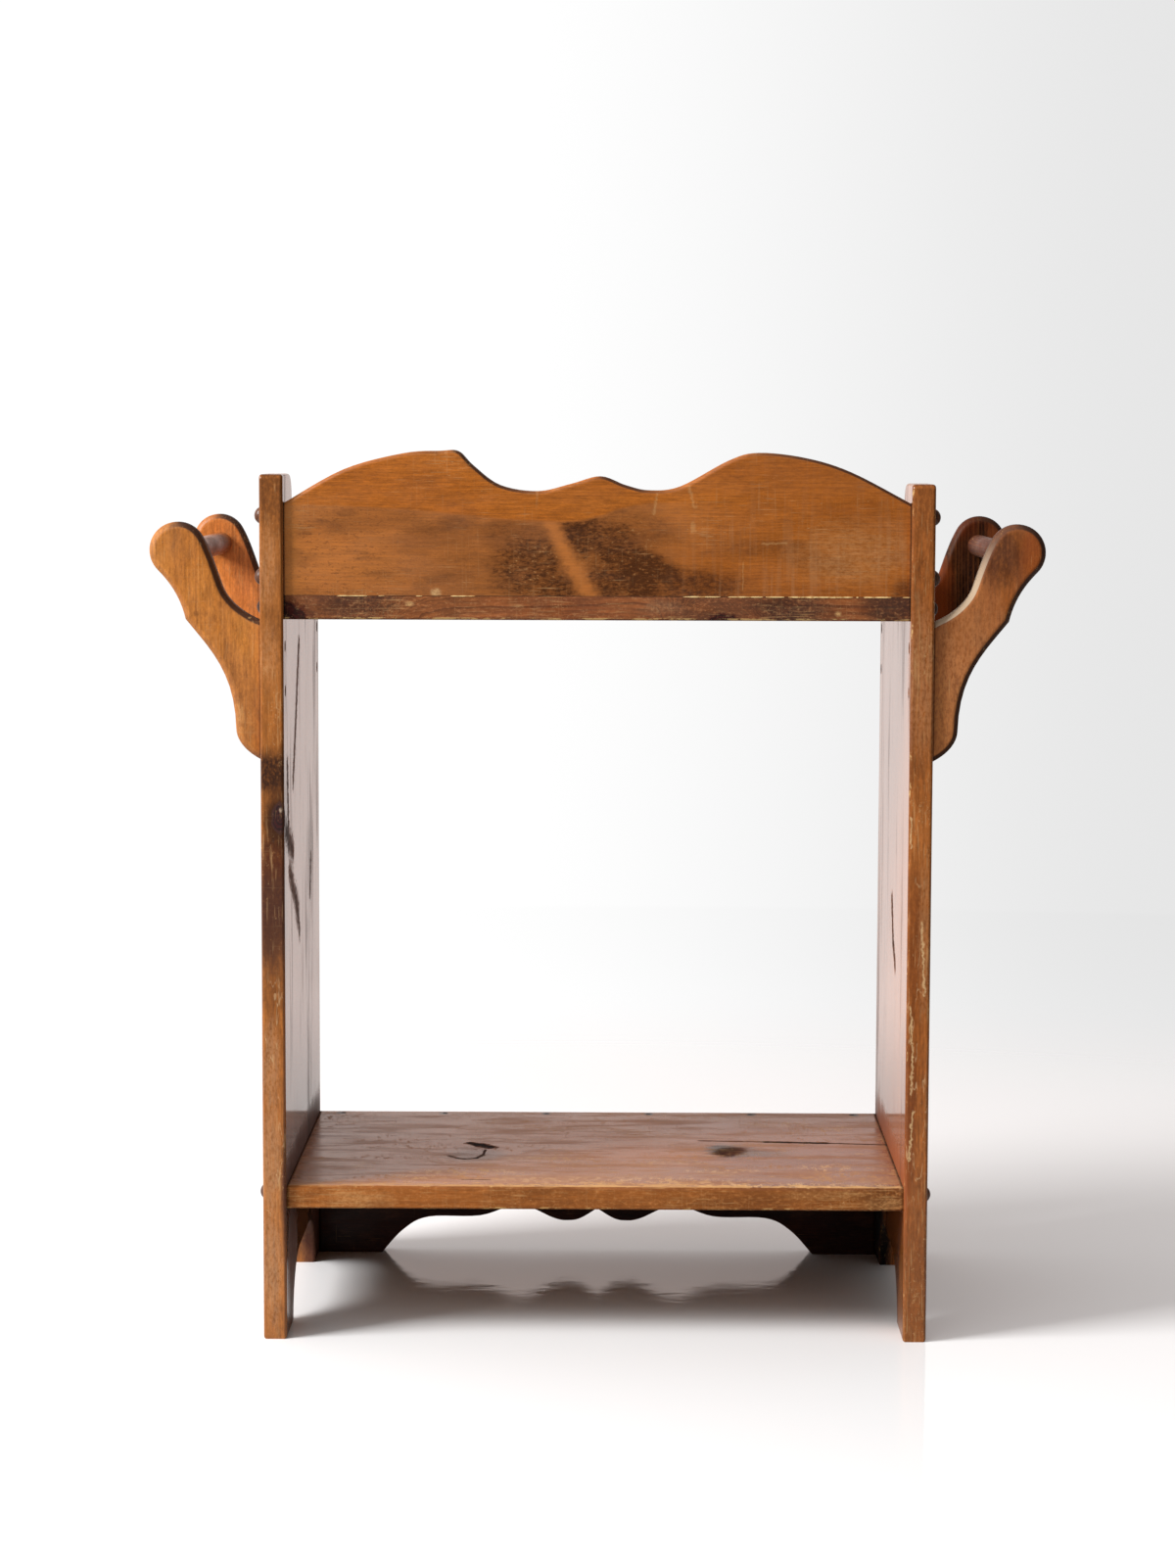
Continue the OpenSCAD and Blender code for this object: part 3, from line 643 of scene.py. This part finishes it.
def bottom_shelf_wood():
    """Reddish and glossy on top, with two knots, cracks, and pale worn patches near its edge."""
    wood = Board("bottom shelf pine", "XYZ", shift=(2, 0, 1))
    w, top, middle = wood.w, 126, 116.5
    wood.knot((112, -12, top), (12, 16, 50))
    wood.grain((168, 102, 50), (142, 82, 38), (110, 60, 29), pith=(0, 30, -20), ring_width=4, wander=30,
               streak=0.2)
    wood.stains(
        ((0, 0, top), (400, 260, 4), 0.6, (186, 110, 62), 0.2),
        ((200, 30, top), (200, 220, 4), 0.7, (138, 76, 48), 0.3),
        ((50, -130, top), (360, 80, 4), 0.5, (138, 86, 58), 0.2),
        ((190, -100, top), (170, 130, 4), 0.75, (116, 68, 48), 0.2),
        ((10, -102, top), (160, 80, 4), 0.4, (118, 72, 48), 0.2),
        ((-100, -34, top), (40, 30, 10), 0.35, (72, 46, 44), 0.2))

    # Worn and dirty varnish on the top face
    on_top = w.ease(wood.axes["Z"], 0.1255, 0.126)
    front = w.ease(wood.axes["Y"], -0.15, 0.02, 0.05, 0)
    worn = w.ease(w.plus(w.noise(wood.drift, (9, 44, 64), 7, 0.62), front), 0.47, 0.61)
    wood.lay_over(w.times(worn, on_top), 0.3, (174, 120, 76), 0.6)
    dirt = w.ease(w.noise(wood.drift, (34, 150, 90), 6, 0.7), 0.52, 0.72)
    wood.lay_over(w.times(dirt, on_top), 0.25, (84, 46, 30))
    wood.stains(
        ((136, -20, top), (45, 24, 10), 0.6, (98, 52, 28), 0.2),
        ((237, FACE, middle), (35, 20, 20), 0.75, UMBER, 0.7))
    wood.rub((185, FACE, 120), (50, 10, 6), 0.35)
    wood.rub((235, FACE, 113), (30, 10, 6), 0.4)
    wood.stain((120, FACE, 114), (60, 20, 10), 0.5, (90, 54, 32))
    wood.rub((-190, FACE, 114), (35, 10, 10), 0.4)
    wood.stains(
        ((20, FACE, 112), (120, 20, 8), 0.45, (98, 58, 32)),
        ((160, FACE, middle), (130, 20, 20), 0.45),
        ((-50, FACE, middle), (50, 20, 20), 0.35))

    # Pale crumbs of wear in patches, in clusters and along the near arris
    flecks = w.noise(wood.drift, (170, 90, 90), 6, 0.8)
    crumbs = w.times(w.ease(flecks, 0.5, 0.58), on_top)
    for x, y, reach_x, reach_y, strength in (
            (20, -134, 140, 22, 0.55), (-105, -102, 70, 18, 0.5), (160, -150, 120, 14, 0.75),
            (192, -78, 36, 20, 0.7), (106, -94, 50, 10, 0.6), (161, 106, 40, 16, 0.5),
            (-50, -46, 80, 12, 0.45), (-194, -86, 18, 34, 0.5), (-148, -118, 28, 30, 0.6),
            (210, 83, 28, 26, 0.5), (65, -60, 70, 10, 0.3), (-222, -40, 20, 50, 0.25)):
        patch = wood.patch((x, y, top), (reach_x, reach_y, 6), 0.9)
        wood.lay_over(w.times(patch, crumbs), strength * 0.75, (222, 178, 126), 0.3)
    wood.stains(
        ((114, -13, top), (26, 40, 10), 1, (60, 24, 16), 0, 0, 1.3),
        ((108, -6, top), (17, 28, 10), 1, (44, 16, 12), 0, 0, 1),
        ((130, -20, top), (30, 16, 10), 0.7, (84, 42, 26), 0.2, 0, 1))
    clusters = w.ease(w.noise(wood.drift, (9, 15, 9), 3), 0.46, 0.6)
    flecks = w.times(w.ease(w.plus(flecks, front), 0.55, 0.6), w.times(clusters, on_top))
    wood.lay_over(flecks, 0.3, (208, 160, 106), 1)
    strip = w.noise(wood.drift, (60, 190, 60), 7, 0.7)
    strip = w.plus(strip, w.ease(wood.axes["Y"], -0.159, -0.138, 0.1, -0.12))
    strip = w.times(w.ease(strip, 0.5, 0.56), on_top)
    wood.lay_over(w.times(strip, w.ease(wood.axes["X"], -0.2, -0.05, 0.3, 1)), 0.6, (226, 180, 122), 1)
    wood.matten(wood.patch((114, -14, top), (18, 30, 10), 1, 0.4), 0.8)

    # The hook of the left knot, then a short crack near the arris and a long one on the right
    wood.cracks(
        top, (-108.5, 18, -101, 11, 9.5, 0.95), (-101, 11, -91.5, 1, 12, 0.95),
        (-95, -10, -96, -32, 2.2, 0.8), (-96, -32, -101, -46, 3.6, 0.85), (-101, -46, -110, -50, 3.6, 0.85),
        (-110, -50, -117, -46, 4.5, 0.6), (-117, -46, -125, -36, 4.5, 0.6))
    # Painted sheen: a grey-violet haze round the hook of the left knot.
    wood.stain((-104, -26, top), (34, 50, 10), 0.4, (84, 70, 74), 0.1, 0, 0.3)
    wood.cracks(
        top, (-109, -132, -87, -133, 2.2, 0.7), (90, 33, 147, 29, 4, 0.6), (147, 29, 198, 25, 6.6, 1),
        (198, 25, 251, 19, 4.2, 0.85))

    low, high = (1000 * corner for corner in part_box("apron_nails"))
    for number in range(6):
        x = low.x + (high.x - low.x) * number / 5
        wood.stain((x, (low.y + high.y) / 2, top), (6, 9, 10), 1, CRACK_BLACK, 0.1)
    wood.seams(("X", INNER, 3))
    wood.flakes(107.6, 1.8, 0.45)
    wood.lay_over(w.times(wood.turn["Rim"], wood.fibre["Grime"]), 0.4, (100, 58, 30))
    wood.lay_over(w.times(wood.turn["Rim"], w.ease(wood.fibre["Speckle"], 0.54, 0.64)), 0.16, PALE_WEAR)
    wood.lay_over(wood.turn["Rim"], 0.1, (206, 118, 36))
    return wood.finish(wear=0.2, chips=0.6, gloss=0.15, dull=0.1, specular=0.12, relief=0.05)


def apron_wood():
    wood = Board("apron pine", "XZY", shift=(5, 0, 1))
    wood.grain((58, 24, 14), (36, 15, 10), (26, 11, 7), pith=(0, 200, 200))
    wood.seams(("X", INNER, 3))
    return wood.finish(end_dark=0.3, wear=0.1, chips=0.1, gloss=0.4, specular=0.25)


def bracket_wood(place, shift, light, deep, specular=0.35, chips=0.4):
    """Leathery varnish, with painted shade on the rim that faces away from the lamp, and marks of its own on
    three of the four brackets.
    """
    wood = Board(f"{place} bracket pine", "ZXY", shift=shift)
    w, on_right = wood.w, place.startswith("right")
    wood.grain(light, deep, pith=(0, -200 if on_right else 200, 100), ring_width=3.4, ring_strength=0.3,
               grime=0.45)
    leather = w.noise(wood.drift, (240, 330, 330), 5, 0.7)
    wood.lay_over(w.ease(leather, 0.5, 0.64), 0.2, (96, 52, 24))
    if place == "left back":
        wood.stains(
            ((591.5, -321.5, FACE), (3.5, 3.5, 10), 0.5, SMOKE, 0.2, 0, 0.3),
            ((591.5, -314.5, FACE), (3.5, 3.5, 10), 0.25, SMOKE, 0.2, 0, 0.3),
            ((500, -285, FACE), (80, 50, 10), 0.3, (130, 72, 32), 0.3))
    if on_right:
        wood.stains(
            ((640, 322, -155), (36, 30, 500), 0.75, (74, 36, 18), 0.3),
            ((645, 352, -155), (55, 18, 500), 0.7, (140, 66, 24), 0.2))
        wood.rub((520, 290, FACE), (90, 50, 10), 0.6, (206, 136, 80))
        wood.rub((590, 302, FACE), (45, 34, 10), 0.4, (182, 116, 64))
    if place == "right back":
        # Painted highlight: the right back bracket's left-facing rim is darkened, then given a pale
        # grey-beige sheen on its upper part.
        inner_curve = w.times(w.ease(wood.turn["Rim"], 0.5, 1), w.minus(1, wood.turn["Lee"]))
        wood.lay_over(inner_curve, 0.55, (70, 40, 26))
        wood.lay_over(w.times(inner_curve, w.ease(wood.axes["Z"], 0.66, 0.61)), 0.85, (214, 190, 160))
    if place == "right front":
        # Redder patches on the right front bracket's near-black wood, which is painted shade.
        wood.stains(
            ((590, 296, 140), (60, 24, 500), 0.75, (132, 56, 16), 0.1),
            ((668, 312, 140), (30, 40, 500), 0.6, (96, 38, 14), 0.1))
    wood.seams(("X", OUTER, 1.8))
    return wood.finish(end_dark=0.5, arris_dark=0.2, wear=0.1, chips=chips, specular=specular, rim_dull=0.25,
                       rim_shade=0.94)


def bar_wood(side, light, deep, gloss, specular):
    wood = Board(f"{side} towel bar pine", "YXZ", shift=(4, 4, 0))
    wood.grain(light, deep, pith=(0, 300, 600), ring_strength=0.25)
    return wood.finish(end_dark=0.5, arris_dark=0, wear=0, chips=0.2, gloss=gloss, relief=0.05,
                       specular=specular)


def plug_wood():
    wood = Board("button plug pine", "YZX", shift=(0, 6, 2))
    wood.grain((84, 50, 34), (54, 32, 24), pith=(0, 600, 200))
    return wood.finish(end_dark=0, arris_dark=0.15, wear=0.1, chips=0.2, gloss=0.2)


WOODS = {
    "left_side_panel": left_panel_wood(),
    "right_side_panel": right_panel_wood(),
    "splash_board": splash_wood(),
    "top_shelf": top_shelf_wood(),
    "bottom_shelf": bottom_shelf_wood(),
    "apron": apron_wood(),
    "left_back_bracket": bracket_wood("left back", (1, 3, 0), HONEY, AMBER),
    "left_front_bracket": bracket_wood("left front", (2, 5, 0), (214, 130, 62), (188, 108, 50)),
    "right_back_bracket": bracket_wood("right back", (1, 7, 0), (176, 104, 48), (148, 80, 33)),
    # The right front bracket's near-black wood is painted shade.
    "right_front_bracket": bracket_wood("right front", (2, 9, 0), (34, 12, 5), (20, 7, 3), 0.1, -1),
    "left_towel_bar": bar_wood("left", (166, 102, 66), (134, 80, 50), 0.22, 0.4),
    # The right towel bar is a darker copy of the left one's wood: painted shade.
    "right_towel_bar": bar_wood("right", (92, 46, 26), (64, 30, 17), 0.36, 0.22),
}
plug_pine = plug_wood()
screw_steel = metal("dull screw steel", (120, 116, 110), 0.35)
nail_steel = metal("rusted nail steel", (34, 20, 14), 0.7, rust=0.2, metallic=0.3)
dried_glue = glue("dried glue")


# Pieces

def link(name, data):
    thing = bpy.data.objects.new(name, data)
    bpy.context.scene.collection.objects.link(thing)
    return thing


def mesh_of(name, shape, material):
    """A mesh of a finished bmesh, in one material."""
    mesh = bpy.data.meshes.new(name)
    shape.to_mesh(mesh)
    shape.free()
    mesh.materials.append(material)
    return mesh


def add_piece(name, shape, material, slot, body, *stands_for):
    """Makes a piece of a finished bmesh, parents it to the empty of its body, and hides the CAD nodes that
    it stands for.
    """
    mesh = mesh_of(name, shape, material)
    mesh.shade_smooth()
    mesh.set_sharp_from_angle(angle=math.radians(40))
    piece = link(name, mesh)
    piece.modifiers.new("even faces", "WEIGHTED_NORMAL").keep_sharp = True
    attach(piece, body)
    if stands_for:
        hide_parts(*stands_for)


def board_copy(node):
    """A CAD board as one clean bmesh of flat faces."""
    shape = bmesh.new()
    shape.from_mesh(nodes[node].data)
    bmesh.ops.remove_doubles(shape, verts=shape.verts, dist=1e-6)
    bmesh.ops.dissolve_limit(shape, angle_limit=math.radians(0.5), verts=shape.verts, edges=shape.edges)
    return shape


def chains(edges):
    """Groups edges that touch end to end."""
    left = set(edges)
    while left:
        chain, ends = set(), [left.pop()]
        while ends:
            edge = ends.pop()
            chain.add(edge)
            for near in (e for vert in edge.verts for e in vert.link_edges if e in left):
                left.remove(near)
                ends.append(near)
        yield chain


def outline_arrises(shape, face_axis, hole_size=0.03):
    """The arrises between a board's two faces and its rim, without those of its holes."""
    def flat(face):
        return abs(face.normal[face_axis]) > 0.99

    edges = [e for e in shape.edges
             if len(e.link_faces) == 2 and flat(e.link_faces[0]) != flat(e.link_faces[1])]
    kept = []
    for chain in chains(edges):
        points = [v.co for e in chain for v in e.verts]
        if max(max(p[i] for p in points) - min(p[i] for p in points) for i in range(3)) > hole_size:
            kept.extend(chain)
    return kept


def eased_board(name, node, face_axis, radius, slot="stained_pine", meets=()):
    """A board of the CAD model with its arrises rounded over, except in the planes (axis, place) that it
    shares with another board."""
    shape = board_copy(node)
    free = [e for e in outline_arrises(shape, face_axis)
            if not any(all(abs(v.co[axis] - place) < 1e-4 for v in e.verts) for axis, place in meets)]
    bmesh.ops.bevel(shape, geom=free, offset=radius, offset_type="OFFSET", segments=5,
                    profile=0.5, affect="EDGES", material=-1, clamp_overlap=True)
    add_piece(name, shape, WOODS[node], slot, "carcass", node)


inner_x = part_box("right_side_panel")[0].x
outer_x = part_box("right_side_panel")[1].x
shelf_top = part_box("top_shelf")[1].z
bottom_shelf_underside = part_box("bottom_shelf")[0].z

eased_board("left_panel_board", "left_side_panel", 0, 0.0025)
eased_board("right_panel_board", "right_side_panel", 0, 0.0025)
between = [(0, -inner_x), (0, inner_x)]
eased_board("splash_board_shaped", "splash_board", 1, 0.0035, meets=between + [(2, shelf_top)])
eased_board("apron_shaped", "apron", 1, 0.0025, "dark_pine", meets=between + [(2, bottom_shelf_underside)])
for side in ("left", "right"):
    for end in ("back", "front"):
        bracket = f"{side}_{end}_bracket"
        eased_board(f"{bracket}_scroll", bracket, 1, 0.0062, meets=[(0, -outer_x), (0, outer_x)])

# The shelves keep the CAD model's rounding and only get smooth shading
for node in ("top_shelf", "bottom_shelf"):
    add_piece(f"{node}_board", board_copy(node), WOODS[node], "stained_pine", "carcass", node)


def turned(profile, axis, centre, steps):
    """A closed turned shape: a profile of (place along the axis, radius), spun round the axis."""
    shape = bmesh.new()
    along = Vector([1 if i == axis else 0 for i in range(3)])
    out = Vector([1 if i == (axis + 1) % 3 else 0 for i in range(3)])
    verts = [shape.verts.new(Vector(centre) + along * place + out * radius) for place, radius in profile]
    edges = [shape.edges.new(pair) for pair in zip(verts, verts[1:])]
    bmesh.ops.spin(shape, geom=verts + edges, cent=centre, axis=along, angle=2 * math.pi,
                   steps=steps, use_merge=True)
    bmesh.ops.remove_doubles(shape, verts=shape.verts, dist=1e-6)
    bmesh.ops.recalc_face_normals(shape, faces=shape.faces)
    return shape


BAR_EASE = 0.001
BAR_RINGS = 24

for side in ("left", "right"):
    node = f"{side}_towel_bar"
    low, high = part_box(node)
    radius = (high.x - low.x) / 2
    half = (high.y - low.y) / 2
    profile = [(-half, 0), (-half, radius - BAR_EASE), (-half + BAR_EASE, radius)]
    profile += [(-half + 2 * half * i / BAR_RINGS, radius) for i in range(1, BAR_RINGS)]
    profile += [(half - BAR_EASE, radius), (half, radius - BAR_EASE), (half, 0)]
    add_piece(f"{side}_bar_turned", turned(profile, 1, (low + high) / 2, 48), WOODS[node], "bar_pine",
              f"{side}_bar", node)

PLUG_HEAD_R = 0.0065
PLUG_HEAD_H = 0.005
PLUG_RIM_H = 0.0011
PLUG_STEM_R = 0.00475
PLUG_STEM_L = 0.0045


def plug_profile():
    """A short stem, a low rim and a dome that is part of a ball."""
    dome = PLUG_HEAD_H - PLUG_RIM_H
    ball = (PLUG_HEAD_R ** 2 + dome ** 2) / (2 * dome)
    reach = math.asin(PLUG_HEAD_R / ball)
    angles = [reach * (1 - i / 8) for i in range(1, 9)]
    stem = [(-PLUG_STEM_L, 0), (-PLUG_STEM_L, PLUG_STEM_R), (0, PLUG_STEM_R)]
    rim = [(0, PLUG_HEAD_R - 0.0004), (0.0003, PLUG_HEAD_R), (PLUG_RIM_H, PLUG_HEAD_R)]
    middle = PLUG_HEAD_H - ball
    return stem + rim + [(middle + ball * math.cos(angle), ball * math.sin(angle)) for angle in angles]


def button_plugs(node, name):
    """The domed wooden buttons of one CAD node, turned one by one."""
    spots = sorted({(round(v.co.y, 3), round(v.co.z, 3)) for v in nodes[node].data.vertices
                    if abs(abs(v.co.x) - (outer_x + PLUG_HEAD_H)) < 2e-4})
    centres = []
    for y, z in spots:
        if all(math.hypot(y - b, z - c) > 0.012 for b, c in centres):
            centres.append((y, z))
    whole = bmesh.new()
    for y, z in centres:
        plug = turned(plug_profile(), 0, (0, 0, 0), 32)
        bmesh.ops.transform(plug, verts=plug.verts, matrix=Matrix.Translation((outer_x, y, z)))
        part = mesh_of("plug part", plug, plug_pine)
        whole.from_mesh(part)
        bpy.data.meshes.remove(part)
    if node.startswith("left"):
        bmesh.ops.scale(whole, verts=whole.verts, vec=(-1, 1, 1))
        bmesh.ops.reverse_faces(whole, faces=whole.faces)
    add_piece(name, whole, plug_pine, "plug_wood", "carcass", node)


for side in ("left", "right"):
    for place in ("splash", "top_shelf", "bottom_shelf"):
        button_plugs(f"{side}_{place}_plugs", f"{side}_{place}_buttons")

for name, node in nodes.items():
    if name.endswith("_screws") or name == "apron_nails":
        node.data.materials.clear()
        node.data.materials.append(nail_steel if name == "apron_nails" else screw_steel)

GLUE_BEADS = (  # start, end and height in millimetres
    (-208, -184, 1.3), (-175, -170, 1), (-145, -140, 1), (-117, -97.5, 1.3), (69, 99, 1.6), (105, 133, 1.6),
    (135, 150, 1.7), (153, 205, 2), (207.5, 209.5, 1.4), (213.5, 235.5, 1.9), (244.5, 250.5, 1.4))


def glue_bead(name, start, end, height, seed):
    """Dried glue that was squeezed out of the joint between the splash board and the top shelf."""
    face_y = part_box("splash_board")[0].y
    length = end - start
    shape = bmesh.new()
    bmesh.ops.create_cube(shape, size=1)
    long_edges = [e for e in shape.edges if abs(e.verts[0].co.x - e.verts[1].co.x) > 0.5]
    bmesh.ops.subdivide_edges(shape, edges=long_edges, cuts=max(3, int(length / 0.0015)), use_grid_fill=True)
    for vert in shape.verts:
        along = vert.co.x + 0.5
        swell = 0.75 + 0.5 * noise.noise(Vector((start + along * length, seed, 0)) * 160)
        swell *= min(1, along * 12 + 0.15, (1 - along) * 12 + 0.15)
        vert.co = Vector((start + along * length, face_y + vert.co.y * 0.0011 * swell,
                          shelf_top + 0.0002 + vert.co.z * height * swell))
    bmesh.ops.smooth_vert(shape, verts=shape.verts, factor=0.5, use_axis_y=True, use_axis_z=True)
    add_piece(name, shape, dried_glue, "stained_pine", "carcass")


for number, bead in enumerate(GLUE_BEADS):
    glue_bead(f"glue_bead_{number + 1}", *mm(*bead), 5 + number)


# Studio

PICTURE_HEIGHT = 1601
FOCAL_LENGTH = 3603.56  # in pixels of the photograph
SENSOR = 36


def make_camera():
    """The photograph's own view, from a fit of the stand's edges."""
    yaw, pitch, roll = -0.00881926, 0.0974794, 0.00302266
    data = bpy.data.cameras.new("camera")
    data.sensor_width = SENSOR
    data.lens = FOCAL_LENGTH / PICTURE_HEIGHT * SENSOR
    camera = link("camera", data)
    camera.matrix_world = (Matrix.Translation((0.017806, -2.98494, 0.73176)) @ Matrix.Rotation(-yaw, 4, "Z")
                           @ Matrix.Rotation(math.pi / 2 - pitch, 4, "X") @ Matrix.Rotation(roll, 4, "Z"))
    bpy.context.scene.camera = camera


def make_floor():
    """A pale glossy sheet that fades into the white round it."""
    material = bpy.data.materials.new("pale glossy floor")
    material.use_nodes = True
    w = Wires(material.node_tree)
    w.tree.nodes.remove(w.tree.nodes["Principled BSDF"])
    seen = w.put("ShaderNodeLightPath").outputs["Is Camera Ray"]
    point = w.coordinates()
    bump = w.relief(w.noise(point, (26, 70, 1), 4, 0.6), 0.15, 0.002)
    paint_coat = w.put("ShaderNodeBsdfDiffuse", {
        "Color": w.blend(seen, (0.5, 0.485, 0.475, 1), (0.95, 0.94, 0.94, 1))}).outputs[0]
    shine = w.put("ShaderNodeBsdfGlossy", {"Roughness": 0.03, "Normal": bump}).outputs[0]
    glint = w.put("ShaderNodeFresnel", {"IOR": 1.4}).outputs[0]
    sheet = w.put("ShaderNodeMixShader", {0: glint, 1: paint_coat, 2: shine}).outputs[0]
    far = w.vector("LENGTH", w.vector("MULTIPLY", point, (0.8, 1, 1)))
    clear = w.put("ShaderNodeBsdfTransparent").outputs[0]
    faded = w.put("ShaderNodeMixShader", {0: w.ease(far, 0.7, 1.7), 1: sheet, 2: clear}).outputs[0]
    w.feed(w.tree.nodes["Material Output"].inputs["Surface"], faded)
    shape = bmesh.new()
    bmesh.ops.create_circle(shape, cap_ends=True, segments=96, radius=2.4)
    floor = link("studio_floor", mesh_of("studio_floor", shape, material))


def make_world():
    """White behind the stand, a little darker on the right, and the dim right side of the room."""
    world = bpy.data.worlds.new("studio")
    bpy.context.scene.world = world
    world.use_nodes = True
    w = Wires(world.node_tree)
    x, y, z = w.split(w.coordinates("Generated"))
    low = w.ease(z, 0.15, 0.6, 0.3, 1.5)
    light = w.times(w.ease(x, -0.8, 0.9, 1, 0.2), w.mix(w.ease(y, -0.5, 0.3), low, 0.9))
    seen = w.times(w.ease(x, -0.06, 0.17, 1.02, 0.79), w.ease(z, -0.21, -0.13, 1.07, 0.985))
    seen = w.times(seen, w.ease(z, -0.1325, -0.131, 1, 1.015))
    mirrored = w.times(seen, w.ease(y, -0.5, 0.4, 0.15, 1))
    mirrored = w.times(mirrored, w.ease(x, 0.2, 0.8, 1, 0.1))
    mirrored = w.times(mirrored, w.ease(z, 0.3, 0.8, 1, 0.3))
    path = w.put("ShaderNodeLightPath").outputs
    strength = w.mix(path["Is Glossy Ray"], light, mirrored)
    sky = w.tree.nodes["Background"].inputs
    w.feed(sky["Color"], w.blend(path["Is Glossy Ray"], (1, 1, 1, 1), (1, 0.865, 0.82, 1)))
    w.feed(sky["Strength"], w.mix(path["Is Camera Ray"], strength, seen))


def make_window():
    """The one lamp: a large window high up on the left."""
    data = bpy.data.lights.new("window", "AREA")
    data.shape = "SQUARE"
    data.size = 1.5
    data.energy = 214
    lamp = link("window", data)
    lamp.location = (-3, -1.35, 2.5)
    lamp.rotation_euler = (Vector((0, 0, 0.4)) - lamp.location).to_track_quat("-Z", "Y").to_euler()


make_camera()
make_floor()
make_world()
make_window()
bpy.context.scene.view_settings.view_transform = "Standard"
